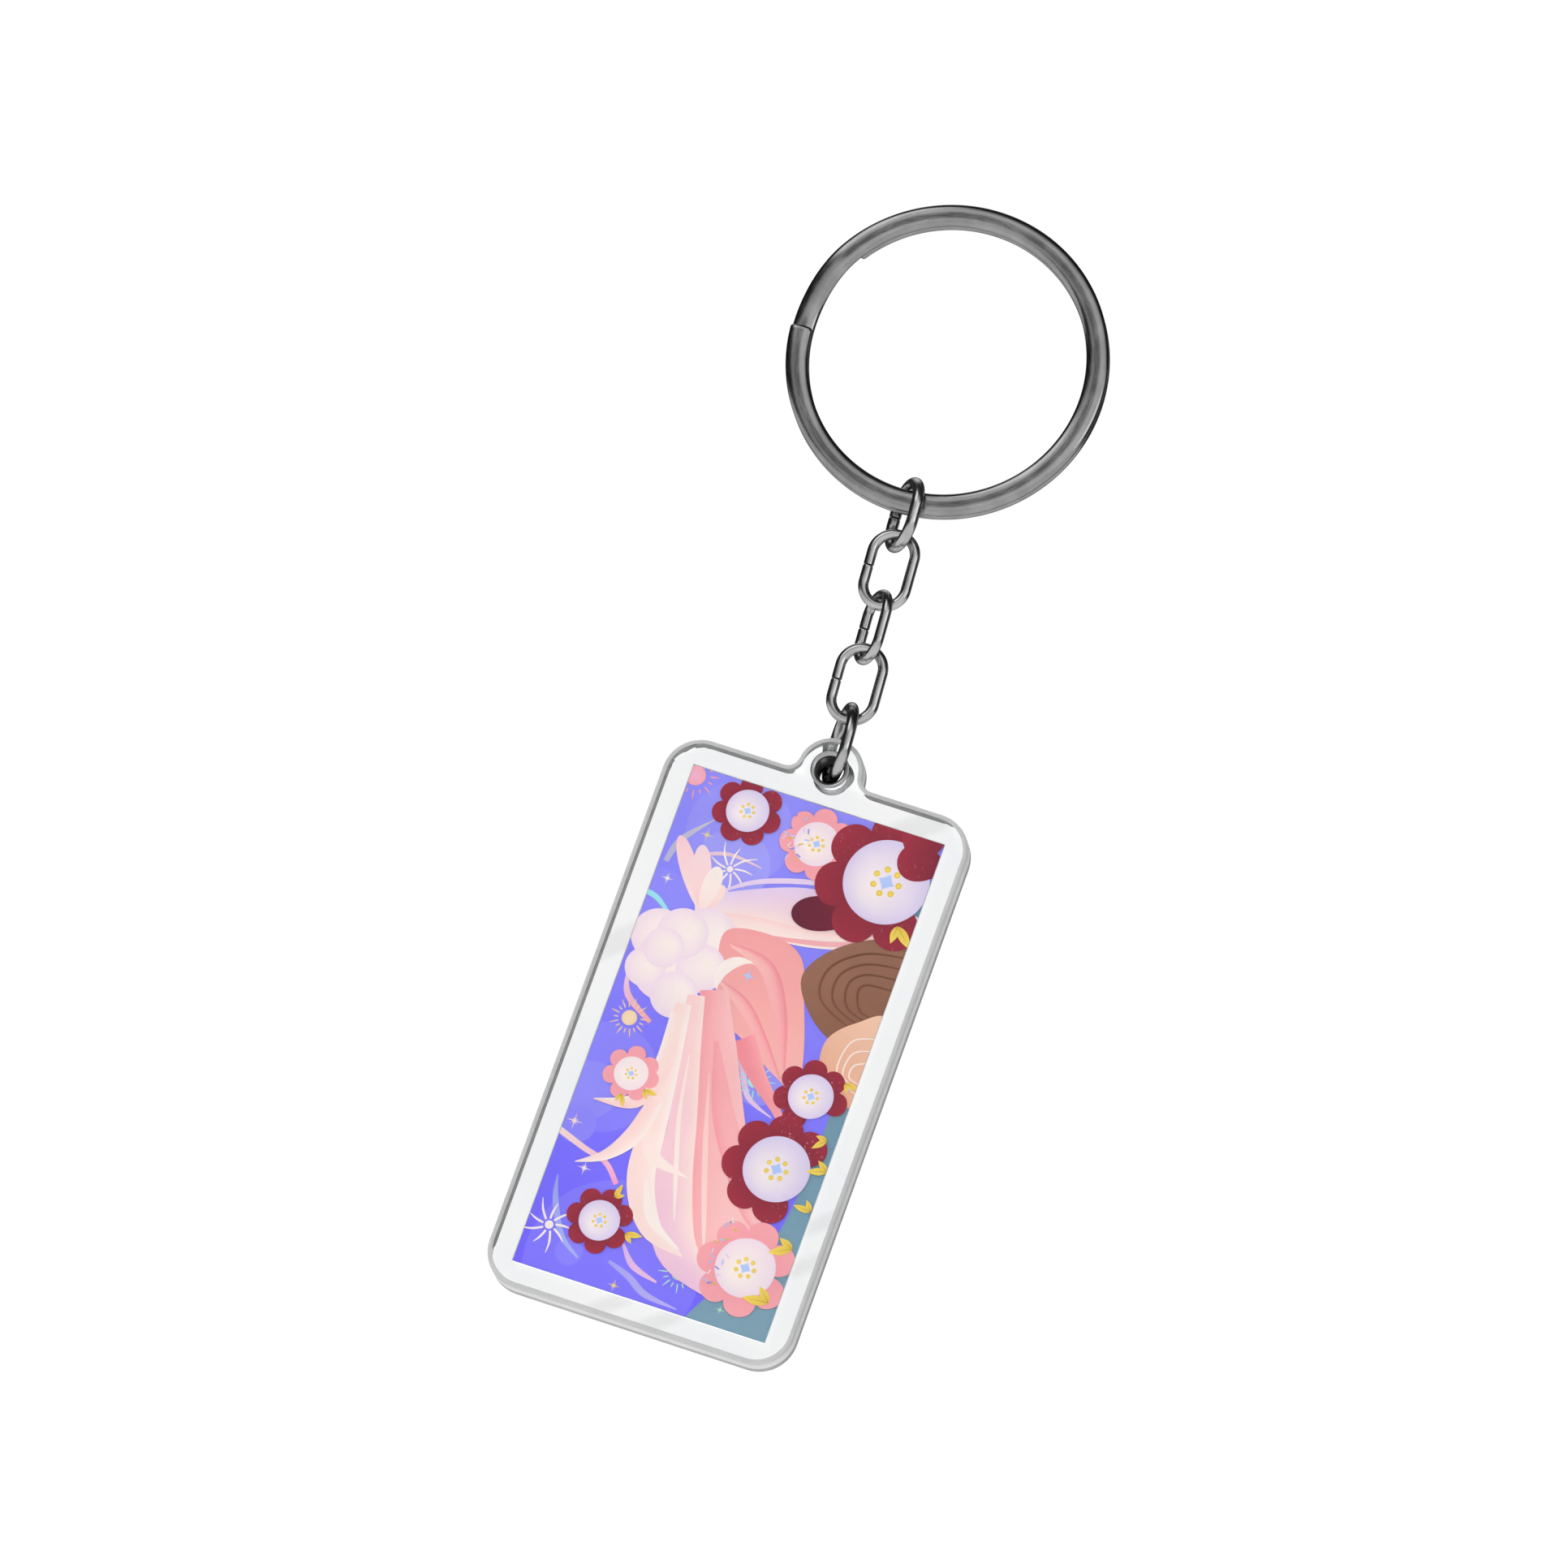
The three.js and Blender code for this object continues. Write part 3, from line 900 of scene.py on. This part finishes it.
def ribbon(art, level, points, start, end, left=None, right=None, steps=7, columns=3):
    """A band through (across, down, width) points: start to end colours, with its sides tinted."""
    line = curve(points, steps=steps)
    first, last = (*linear(start), 0.0), (*linear(end), 0.0)
    rows = []
    for i, (x, d, width) in enumerate(line):
        before, after = line[max(i - 1, 0)], line[min(i + 1, len(line) - 1)]
        run = math.hypot(after[0] - before[0], after[1] - before[1]) or 1.0
        nx, nd = -(after[1] - before[1]) / run, (after[0] - before[0]) / run
        tone = blend_colours(first, last, i / (len(line) - 1))
        row = []
        for k in range(columns + 1):
            side = 2 * k / columns - 1
            colour = tone
            if left and side < 0:
                colour = blend_colours(tone, (*linear(left), 0.0), -side)
            if right and side > 0:
                colour = blend_colours(tone, (*linear(right), 0.0), side)
            row.append((x + nx * side * width / 2, d + nd * side * width / 2, *colour))
        rows.append(row)
    art.strips(level, rows)


def turned(x, d, degrees):
    """Turns places about a root: along and beside a direction become across and down."""
    turn = math.radians(degrees)
    c, s = math.cos(turn), math.sin(turn)
    return lambda along, beside: (x + c * along - s * beside, d + s * along + c * beside)


def petal(art, level, x, d, length, width, degrees, base, tip, speckle=0.0):
    """A rounded petal from its root, widest past its middle."""
    put = turned(x, d, degrees)
    outline = []
    for k in range(36):
        t = 2 * math.pi * k / 36
        beside = width / 2 * math.sin(t) * abs(math.sin(t / 2)) ** 0.55
        outline.append(put(length * (1 - math.cos(t)) / 2, beside))
    art.polygon(level, outline, fade(base, tip, (x, d), put(length, 0.0), speckle))


def star(art, level, x, d, radius, code, waist=0.2, degrees=0.0):
    """A star with four points."""
    outline = []
    for k in range(8):
        angle = math.radians(degrees) + math.pi * k / 4
        size = radius * (waist if k % 2 else 1.0)
        outline.append((x + size * math.sin(angle), d - size * math.cos(angle)))
    art.polygon(level, outline, flat(code))


def crescent(art, level, x, d, radius, degrees, code, sides=28):
    """A young moon: a half circle closed by a flatter arc."""
    put = turned(x, d, degrees)
    outline = []
    for depth, order in ((1.0, 1), (0.45, -1)):
        for k in range(1, sides)[::order]:
            angle = math.pi / 2 + math.pi * k / sides
            outline.append(put(radius * depth * math.cos(angle), radius * math.sin(angle)))
    art.polygon(level, outline, flat(code))


def leaf(art, level, x, d, length, width, degrees):
    """A slender pointed leaf from its root, with a thin midrib."""
    put = turned(x, d, degrees)
    shares = [k / 10 for k in range(10)] + [k / 10 for k in range(10, 0, -1)]
    outline = []
    for k, share in enumerate(shares):
        side = 1 if k < 10 else -1
        outline.append(put(length * share, side * width / 2 * math.sin(math.pi * share ** 0.8)))
    art.polygon(level, outline, fade(GOLD, LEMON, (x, d), put(length, 0.0)))
    rib = [(x, d, 0.1), (*put(length * 0.85, 0.0), 0.04)]
    ribbon(art, level + 1, rib, "C79F3C", GOLD, steps=1, columns=1)


def sun(art, level, x, d, radius, code, rays=14, reach=2.5, width=0.16, bend=0.0, glow=CREAM):
    """A disc with thin rays, which may bend."""
    for k in range(rays):
        angle = 2 * math.pi * (k + 0.5) / rays
        span = radius * (reach if k % 2 else 0.8 * reach)
        points = []
        for r, w in ((radius * 1.45, width), ((radius * 1.45 + span) / 2, width), (span, width * 0.3)):
            bent = angle + bend * (r - radius)
            points.append((x + r * math.cos(bent), d + r * math.sin(bent), w))
        ribbon(art, level, points, code, code, steps=3, columns=1)
    disc(art, level + 1, x, d, radius, glow, code, bands=3, sides=32)


def blossom(art, level, x, d, radius, petals, tips, start, spread, count, heart=(PEARL, LAVENDER),
            speckle=0.0):
    """A round bloom: petals fanned over part of its rim, a pale heart, and a ring of gold stamens."""
    for k in range(count):
        degrees = start + spread * k / max(count - 1, 1)
        root = (x + 0.35 * radius * math.cos(math.radians(degrees)),
                d + 0.35 * radius * math.sin(math.radians(degrees)))
        lift = 2 if k == count - 1 else k % 2
        petal(art, level + lift, *root, radius * 1.3, radius * 1.25, degrees, petals, tips, speckle)
    disc(art, level + 3, x, d, radius, *heart, light=(-0.3, 0.25))
    for k in range(7):
        angle = 2 * math.pi * k / 7
        disc(art, level + 4, x + 0.3 * radius * math.cos(angle), d + 0.3 * radius * math.sin(angle),
             radius * 0.075, LEMON, GOLD, bands=2, sides=16)
    star(art, level + 4, x, d, radius * 0.2, ICE, waist=0.62, degrees=12)


def sprinkles(art, level, x, d, reach_x, reach_d, count, seed):
    """Short rods of colour scattered over an oval."""
    pick = random.Random(seed)
    for _ in range(count):
        angle, share = pick.uniform(0, 2 * math.pi), math.sqrt(pick.random())
        cx, cd = x + reach_x * share * math.cos(angle), d + reach_d * share * math.sin(angle)
        tilt, code = pick.uniform(0, math.pi), pick.choice((ICE, LILAC, SHELL, GOLD, "8F8BE8"))
        dx, dd = 0.24 * math.cos(tilt), 0.24 * math.sin(tilt)
        ribbon(art, level, [(cx - dx, cd - dd, 0.13), (cx + dx, cd + dd, 0.13)], code, code, steps=1,
               columns=1)


def paint_sky():
    art = Ink()
    page = [(0, 0), (PRINT_WIDTH, 0), (PRINT_WIDTH, PRINT_HEIGHT), (0, PRINT_HEIGHT)]
    art.polygon(0, page, sky)
    for x, d, radius, share in (
        (6.2, 4.8, 5.0, 0.22), (2.0, 30.4, 5.2, 0.18), (8.8, 47.0, 8.2, 0.16), (1.0, 13.5, 3.4, 0.12),
    ):
        haze(art, 1, x, d, radius, MIST, share)
    for x, d, radius, share in (
        (6.6, 7.9, 3.5, 0.5), (1.3, 31.9, 2.7, 0.36), (1.2, 35.3, 1.8, 0.3), (11.5, 39.5, 2.5, 0.4),
        (4.6, 46.8, 1.3, 0.3), (15.6, 25.4, 3.2, 0.42),
    ):
        haze(art, 2, x, d, radius, MIST, share)
    ground = fade(TEAL, "7FA3B5", (23, 8), (20, 49))
    blob(art, 3, [(25.5, 5.5), (23.4, 8.5), (22.9, 18), (23.0, 29), (22.6, 37), (21.3, 42), (18.2, 46.5),
                  (17.0, 51), (26, 51)], ground)
    art.make("print_sky", "art_print")


def paint_streams():
    """Thin bands of light drifting across the sky."""
    art = Ink()
    for points, start, end in (
        ([(-0.3, 12.6, 0.5), (1.0, 12.9, 0.5), (2.6, 14.0, 0.3)], AQUA, AQUA),
        ([(0.6, 9.4, 0.5), (1.3, 7.0, 0.6), (3.6, 4.3, 0.1)], "B7B4D8", "C9C4CE"),
        ([(3.3, 7.9, 0.3), (6.0, 7.0, 0.35), (9.2, 7.3, 0.1)], "E9C6D8", "F0D2D6"),
        ([(0.8, 20.2, 0.2), (1.6, 22.4, 0.6), (4.4, 24.2, 0.4)], LILAC, ROSE),
        ([(-0.3, 36.2, 0.6), (2.6, 37.2, 0.55), (5.0, 37.9, 0.5), (6.6, 39.5, 0.5)], SHELL, "F3A3CC"),
        ([(8.6, 32.8, 0.4), (9.9, 34.6, 0.55), (12.0, 36.0, 0.4)], AQUA, AQUA),
        ([(1.2, 40.3, 0.1), (1.8, 42.6, 0.55), (3.5, 45.6, 0.5), (5.6, 47.1, 0.2)], "9FA6EE", "A9B4F2"),
        ([(8.4, 46.5, 0.3), (10.6, 47.3, 0.6), (12.6, 48.4, 0.6), (15.8, 48.8, 0.1)], "A6A3F0", "BDB4F4"),
        ([(9.0, 44.4, 0.2), (10.6, 46.2, 0.6), (13.2, 47.0, 0.2)], "D7B4EA", "F0C4DC"),
        ([(11.6, 24.4, 0.2), (13.6, 25.2, 0.5), (15.3, 28.0, 0.5), (18.0, 29.2, 0.1)], "E9B9DA", LILAC),
        ([(11.4, 22.4, 0.4), (12.6, 24.2, 0.5), (14.4, 24.8, 0.1)], MINT, AQUA),
    ):
        ribbon(art, 4, points, start, end, columns=1)
    art.make("print_streams")


def paint_suns():
    art = Ink()
    sun(art, 5, 0.5, 0.9, 0.95, ROSE, rays=16, reach=2.4, width=0.13, glow="F6B4D2")
    sun(art, 5, 2.45, 24.4, 0.72, "F7D3A4", rays=18, reach=2.6, width=0.12, glow="FBE3BE")
    sun(art, 5, 15.4, 26.4, 0.66, AQUA, rays=16, reach=3.0, width=0.13, glow="D6F1EC")
    sun(art, 5, 14.9, 45.5, 0.72, MINT, rays=16, reach=2.7, width=0.12, glow="D3EEDC")
    sun(art, 5, 6.5, 8.3, 0.3, CREAM, rays=9, reach=9.0, width=0.17, bend=0.16)
    sun(art, 5, 2.05, 45.0, 0.4, CREAM, rays=9, reach=6.6, width=0.2, bend=0.14)
    for x, d, radius, code in (
        (3.4, 5.9, 0.7, "EFDDA8"), (1.3, 10.9, 0.62, CREAM), (0.95, 35.1, 0.8, SHELL),
        (3.3, 39.0, 0.7, CREAM), (11.4, 38.8, 0.6, SHELL), (9.6, 48.5, 0.62, "F6E08A"),
        (1.2, 17.6, 0.5, CREAM), (12.2, 9.2, 0.5, CREAM), (19.6, 47.6, 0.5, MINT),
    ):
        star(art, 6, x, d, radius, code, waist=0.13)
        star(art, 7, x, d, radius * 0.55, code, waist=0.2, degrees=45)
    art.make("print_suns")


def paint_upper_clouds():
    """Windblown cloud over the top half, and a bank of round cloud at the left."""
    art = Ink()
    for points in (
        [(5.6, 11.2, 0.1), (9.0, 8.8, 0.45), (13.4, 7.3, 0.5), (17.0, 6.8, 0.2)],
        [(6.2, 12.0, 0.1), (9.6, 9.6, 0.4), (13.0, 8.4, 0.4), (16.0, 7.9, 0.2)],
    ):
        ribbon(art, 8, points, LILAC, "EBD6F0", columns=1)
    ribbon(art, 9, [(4.6, 12.6, 1.6), (9.0, 10.9, 2.6), (14.0, 9.8, 4.0), (19.0, 9.6, 4.6),
                    (25.0, 9.6, 4.8)], "F1DCE9", "F3C6D6", left=LILAC, right=SHELL)
    ribbon(art, 10, [(5.0, 13.4, 0.9), (10.0, 12.6, 1.5), (15.0, 12.3, 1.7), (20.0, 11.2, 1.5),
                     (24.8, 9.8, 1.2)], SHELL, CREAM, left=BLUSH)
    ribbon(art, 11, [(9.5, 13.5, 0.1), (14.0, 12.9, 0.4), (18.4, 11.9, 0.5), (22.5, 10.2, 0.2)], ROSE,
           "F7BBBE", columns=1)
    for degrees, length, width, base, tip in (
        (236, 7.6, 1.9, SHELL, "FAD0D6"), (252, 6.4, 2.1, BLUSH, "FBDDDF"), (272, 4.6, 2.0, SHELL, CREAM),
        (292, 3.3, 1.6, BLUSH, SHELL),
    ):
        petal(art, 9 + (degrees // 16) % 2, 5.3, 13.0, length, width, degrees, base, tip)
    for x, d, radius, level in (
        (2.3, 16.2, 2.5, 11), (6.6, 15.2, 2.9, 12), (4.2, 18.8, 3.3, 13), (2.2, 19.4, 1.9, 14),
        (7.1, 18.0, 2.3, 15), (4.4, 15.4, 2.4, 16), (5.6, 21.1, 2.2, 17), (3.2, 17.2, 1.9, 18),
    ):
        disc(art, level, x, d, radius, CREAM, "F3DDEA", light=(0.35, -0.3), bands=4, sides=44)
    art.make("print_upper_clouds")


def paint_lower_clouds():
    """Long pink cloud that streams down the picture."""
    art = Ink()
    ribbon(art, 19, [(13.0, 23.0, 2.4), (15.6, 26.0, 1.6), (18.2, 28.4, 0.9), (20.0, 30.6, 0.1)], CORAL,
           ROSE, left=ROSE)
    ribbon(art, 20, [(9.0, 19.5, 2.6), (11.2, 25.5, 4.2), (13.2, 31.0, 5.4), (15.6, 37.0, 6.6),
                     (17.4, 42.0, 6.0), (19.6, 46.4, 2.6)], "F9B0B4", BLUSH, left="FBC3C4",
           right="F79DA6")
    ribbon(art, 21, [(10.8, 24.0, 0.4), (13.6, 30.0, 2.0), (16.6, 34.6, 2.2), (19.0, 38.0, 1.6),
                     (21.4, 40.4, 0.3)], ROSE, "FBCBC9", right="F6A0AA")
    ribbon(art, 21, [(7.6, 20.5, 1.6), (8.8, 26.0, 2.2), (10.4, 32.0, 2.6), (11.6, 38.0, 3.6),
                     (13.8, 43.4, 3.8), (18.4, 46.2, 1.6)], BLUSH, "F0C6E0", left=SHELL)
    ribbon(art, 22, [(6.8, 21.6, 1.4), (7.3, 27.0, 2.1), (8.0, 33.0, 2.4), (8.6, 38.4, 2.6),
                     (11.0, 42.4, 2.0), (14.6, 44.0, 0.2)], "FDDDD6", SHELL, left=CREAM)
    ribbon(art, 23, [(6.5, 22.6, 1.2), (6.9, 28.0, 1.7), (5.6, 31.6, 1.4), (1.9, 32.6, 0.1)], SHELL,
           BLUSH, right=CREAM)
    ribbon(art, 23, [(7.4, 31.0, 1.4), (6.6, 34.6, 1.7), (4.8, 37.2, 1.0), (2.3, 38.7, 0.1)], "FBD6D0",
           SHELL, left=CREAM)
    ribbon(art, 23, [(7.9, 33.4, 1.2), (8.9, 36.0, 1.3), (12.6, 36.9, 0.1)], SHELL, CREAM)
    ribbon(art, 24, [(8.9, 26.0, 0.15), (9.9, 31.5, 0.4), (11.4, 36.6, 0.45), (12.8, 41.0, 0.1)],
           "FCE4DC", CREAM, columns=1)
    ribbon(art, 24, [(11.2, 27.0, 0.1), (13.0, 33.0, 0.5), (15.0, 39.0, 0.5), (16.6, 43.6, 0.1)],
           "FBC9C7", "FDE0DA", columns=1)
    ribbon(art, 24, [(9.1, 38.4, 0.3), (10.8, 41.6, 0.9), (14.2, 43.5, 0.1)], CREAM, CREAM, columns=1)
    art.make("print_lower_clouds")


def paint_dunes():
    """Coral, clay and sand ridges on the horizon, which is the print's right side."""
    art = Ink()
    blob(art, 13, [(8.2, 13.8), (12.5, 13.0), (15.6, 14.2), (17.2, 18.0), (18.7, 22.2), (19.4, 26.2),
                   (16.6, 25.2), (13.2, 23.2), (10.4, 21.6), (8.6, 17.6)],
         fade("F6A4A4", "F7B8B2", (9, 13), (17, 26)))
    for points in (
        [(9.0, 15.0, 0.3), (12.8, 16.0, 1.4), (15.4, 19.6, 1.3), (17.6, 24.6, 0.2)],
        [(9.3, 18.6, 0.3), (12.0, 20.0, 1.2), (14.8, 22.6, 0.9), (17.6, 25.6, 0.1)],
    ):
        ribbon(art, 14, points, "FBC4BD", ROSE, left=CORAL)
    crescent(art, 15, 10.6, 17.9, 2.1, 35, CREAM)
    star(art, 16, 11.5, 17.3, 0.6, ICE, waist=0.3)
    blob(art, 15, [(25.0, 9.6), (21.4, 10.4), (18.0, 12.6), (16.2, 15.6), (17.6, 18.4), (20.6, 20.6),
                   (25.0, 21.2)], fade(CLAY, "8A5D49", (16, 12), (23, 21)))
    for step in range(4):
        ribbon(art, 16, [(24.8, 11.2 + 1.1 * step, 0.1), (21.0 + 0.4 * step, 12.0 + 0.9 * step, 0.2),
                         (18.3 + 1.1 * step, 14.4 + 0.4 * step, 0.24),
                         (18.9 + 1.2 * step, 17.6 - 0.1 * step, 0.2), (24.8, 19.9 - 0.8 * step, 0.1)],
               CLAY_DEEP, "83543F", columns=1)
    blob(art, 17, [(25.0, 17.4), (22.4, 18.4), (20.4, 20.6), (20.6, 23.4), (22.4, 25.2), (25.0, 25.6)],
         fade(SAND, PEACH, (24.5, 17.5), (21, 25)))
    for step in range(3):
        ribbon(art, 18, [(24.8, 19.2 + 1.2 * step, 0.08), (22.6 + 0.5 * step, 20.2 + 1.0 * step, 0.14),
                         (22.3 + 0.6 * step, 23.4, 0.14), (24.8, 24.8 - 0.5 * step, 0.08)], CREAM, SHELL,
               columns=1)
    art.make("print_dunes")


def paint_blossoms():
    art = Ink()
    corner_petals = ((24.6, -1.2, 4.4, 4.6, 150), (25.4, 2.0, 4.6, 4.2, 172))
    for x, d, length, width, degrees in corner_petals:
        petal(art, 34, x, d, length, width, degrees, WINE_DEEP, WINE, 0.6)
    petal(art, 25, 19.6, 8.6, 6.6, 3.9, 164, WINE_DEEP, PLUM)
    blossom(art, 25, 6.2, 2.6, 2.0, WINE_DEEP, WINE, -40, 300, 7, speckle=0.7)
    blossom(art, 26, 13.3, 3.6, 2.1, "F59FAA", ROSE, 20, 300, 7, heart=(CREAM, "F1DDEA"), speckle=0.3)
    sprinkles(art, 35, 11.4, 3.2, 1.4, 2.6, 22, 5)
    blossom(art, 29, 20.6, 5.0, 4.0, WINE_DEEP, WINE, 60, 200, 5, speckle=0.4)
    blossom(art, 25, 20.8, 26.2, 2.1, WINE_DEEP, WINE, 110, 250, 6, speckle=0.8)
    blossom(art, 30, 20.1, 33.6, 3.1, WINE_DEEP, WINE, 80, 230, 6, speckle=0.8)
    blossom(art, 25, 20.5, 43.2, 2.8, "F59FAA", ROSE, 30, 300, 7, heart=(CREAM, "F1DDEA"), speckle=0.3)
    sprinkles(art, 35, 17.8, 42.6, 0.9, 3.4, 20, 9)
    blossom(art, 25, 6.3, 43.2, 1.9, WINE_DEEP, WINE, 30, 300, 7, speckle=0.8)
    blossom(art, 25, 4.4, 29.3, 1.6, "F59FAA", ROSE, 0, 320, 7, heart=(CREAM, "F6E2E6"), speckle=0.2)
    art.make("print_blossoms")


def paint_leaves():
    """Slender gold leaves tucked round the blossoms, a long one and a short one at each place."""
    art = Ink()
    for x, d, size, degrees in (
        (23.0, 8.6, 2.2, 60), (24.6, 32.4, 1.7, 180), (24.4, 36.4, 1.5, 200), (23.6, 29.6, 1.4, 150),
        (24.0, 40.2, 2.0, 170), (23.6, 45.6, 2.2, 190), (9.0, 43.6, 1.4, 10), (6.9, 40.7, 1.2, 300),
        (6.0, 30.4, 1.2, 20), (4.2, 31.4, 1.1, 80), (23.4, 24.0, 1.2, 30),
    ):
        leaf(art, 35, x, d, size * 1.15, size * 0.42, degrees - 16)
        leaf(art, 35, x, d, size * 0.8, size * 0.34, degrees + 34)
    art.make("print_leaves")


def make_sheet(name, front, thickness, material, node):
    """A thin flat sheet the size of the print, its rim slightly rounded."""
    round_off = min(thickness / 3, 0.06)
    rings = []
    for inset, y in ((round_off, 0.0), (0.3 * round_off, 0.3 * round_off), (0.0, round_off),
                     (0.0, thickness - round_off), (0.3 * round_off, thickness - 0.3 * round_off),
                     (round_off, thickness)):
        half_x, half_z = PRINT_WIDTH / 2 - inset, PRINT_HEIGHT / 2 - inset
        corners = ((-half_x, -half_z), (half_x, -half_z), (half_x, half_z), (-half_x, half_z))
        rings.append([Vector((x, front + y, PRINT_CENTRE_Z + z)) * MM for x, z in corners])
    mesh = mesh_from_rings(name, rings)
    shade(mesh, 30)
    mesh.transform(TAG_TO_ROW)
    return new_object(name, mesh, material, "tag", node)


for paint in (paint_sky, paint_streams, paint_suns, paint_upper_clouds, paint_lower_clouds, paint_dunes,
              paint_blossoms, paint_leaves):
    paint()
make_sheet("backing_sheet", CARD_FRONT_Y, CARD_THICKNESS, card, "backing_card")


# ---------------------------------------------------------------- floor, light and camera


def direction(azimuth, elevation):
    """A unit vector from the object outwards: azimuth 0 is its front, 90 its right side."""
    a, e = math.radians(azimuth), math.radians(elevation)
    return Vector((math.sin(a) * math.cos(e), -math.cos(a) * math.cos(e), math.sin(e)))


def make_floor():
    """A pale plane below the object. It is seen from above only, since the camera looks up from below."""
    mesh = bpy.data.meshes.new("floor")
    corners = ((-1, -1), (1, -1), (1, 1), (-1, 1))
    mesh.from_pydata([(x * FLOOR_SIDE, y * FLOOR_SIDE, FLOOR_DROP) for x, y in corners], [], [(0, 1, 2, 3)])
    floor = place_object("floor", mesh)
    material, kit = new_material("pale_floor")
    cloud = kit.noise(kit.object_place(), 3.0, 4.0)
    tint = kit.mix(kit.ramp(cloud, 0.3, 0.7), (0.88, 0.88, 0.88, 1.0), (0.92, 0.92, 0.92, 1.0))
    kit.shade("Base Color", tint)
    kit.shade("Roughness", 0.9)
    behind = kit.node("ShaderNodeNewGeometry").outputs["Backfacing"]
    clear = kit.node("ShaderNodeBsdfTransparent").outputs[0]
    seen = kit.node("ShaderNodeMixShader", {0: behind, 1: kit.shader.outputs[0], 2: clear})
    kit.put(kit.tree.nodes["Material Output"].inputs["Surface"], seen.outputs[0])
    mesh.materials.append(material)
    floor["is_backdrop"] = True


def make_light(name, azimuth, elevation, watts):
    """A square soft lamp that faces the middle of the object."""
    low, high = cad_box
    lamp = bpy.data.lights.new(name, "AREA")
    lamp.shape = "SQUARE"
    lamp.size = LAMP_SIZE
    lamp.energy = watts
    obj = place_object(name, lamp)
    away = direction(azimuth, elevation)
    obj.location = (low + high) / 2 + away * LAMP_DISTANCE
    obj.visible_camera = False
    obj.rotation_mode = "QUATERNION"
    obj.rotation_quaternion = (-away).to_track_quat("-Z", "Y")


def make_world():
    """A white studio: plain white to look at, an even glow and some light from the left on paper, ink
    and satin edges, and for metal and clear plastic a bright front with darker sides."""
    world = bpy.data.worlds.new("studio")
    bpy.context.scene.world = world
    world.use_nodes = True
    kit = Kit(world.node_tree)
    background = kit.tree.nodes["Background"]
    heading = kit.node("ShaderNodeTexCoord").outputs["Generated"]
    path = kit.node("ShaderNodeLightPath").outputs

    def facing(azimuth, elevation, low, high, level):
        """A level that rises from nothing to full as a ray turns towards a direction."""
        return kit.ramp(kit.dot(heading, direction(azimuth, elevation)), low, high, 0.0, level)

    def glow(base, sources):
        light = base
        for source in sources:
            light = kit.calc("ADD", facing(*source), light)
        return light

    def without_mirror(light, low, high, level):
        """Darker where the plates' flat faces mirror the studio into the camera."""
        hidden = facing(-VIEW_AZIMUTH, -VIEW_ELEVATION, low, high, -level)
        return kit.calc("MULTIPLY", light, kit.calc("ADD", hidden, 1.0))

    softboxes = [(azimuth, elevation, math.cos(math.radians(outer)), math.cos(math.radians(inner)), level)
                 for azimuth, elevation, inner, outer, level in SOFTBOXES]
    on_metal = without_mirror(glow(METAL_BASE, (*METAL_GLOWS, *softboxes)), *METAL_MIRROR)
    through_glass = without_mirror(glow(CLEAR_BASE, CLEAR_GLOWS), *CLEAR_MIRROR)
    light = kit.choose(path["Is Transmission Ray"], on_metal, through_glass)
    under_glass = kit.calc("GREATER_THAN", path["Transmission Depth"], 0.5)
    even = kit.ramp(under_glass, 0.0, 1.0, OPEN_LEVEL, UNDER_GLASS_LEVEL)
    on_matt = kit.calc("ADD", even, facing(*LEFT_GLOW))
    light = kit.choose(kit.calc("GREATER_THAN", path["Diffuse Depth"], 0.5), light, on_matt)
    kit.put(background.inputs["Strength"], kit.choose(path["Is Camera Ray"], light, BACKDROP_LEVEL))
    background.inputs["Color"].default_value = (1.0, 1.0, 1.0, 1.0)


def make_camera():
    back = direction(VIEW_AZIMUTH, VIEW_ELEVATION)
    right = Vector((math.cos(math.radians(VIEW_AZIMUTH)), math.sin(math.radians(VIEW_AZIMUTH)), 0.0))
    up = back.cross(right)
    target = hole_centre() + (right * VIEW_RIGHT + up * VIEW_UP) * MM
    roll = math.radians(VIEW_ROLL)
    rolled_up = up * math.cos(roll) - right * math.sin(roll)
    rolled_right = right * math.cos(roll) + up * math.sin(roll)
    data = bpy.data.cameras.new("camera")
    data.lens = LENS
    data.sensor_width = SENSOR
    data.clip_start = 0.01
    data.clip_end = 20.0
    camera = place_object("camera", data)
    place = target + back * (VIEW_WIDTH * LENS / SENSOR * MM)
    axes = Matrix((rolled_right, rolled_up, back)).transposed().to_4x4()
    camera.matrix_world = Matrix.Translation(place) @ axes
    bpy.context.scene.camera = camera


make_floor()
for lamp in LAMPS:
    make_light(*lamp)
make_world()
make_camera()
bpy.context.scene.view_settings.view_transform = "Standard"
bpy.context.scene.cycles.use_denoising = True

({name: [list(corner) for corner in box]
           for name, box in (("cad", cad_box), ("visual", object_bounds()))})
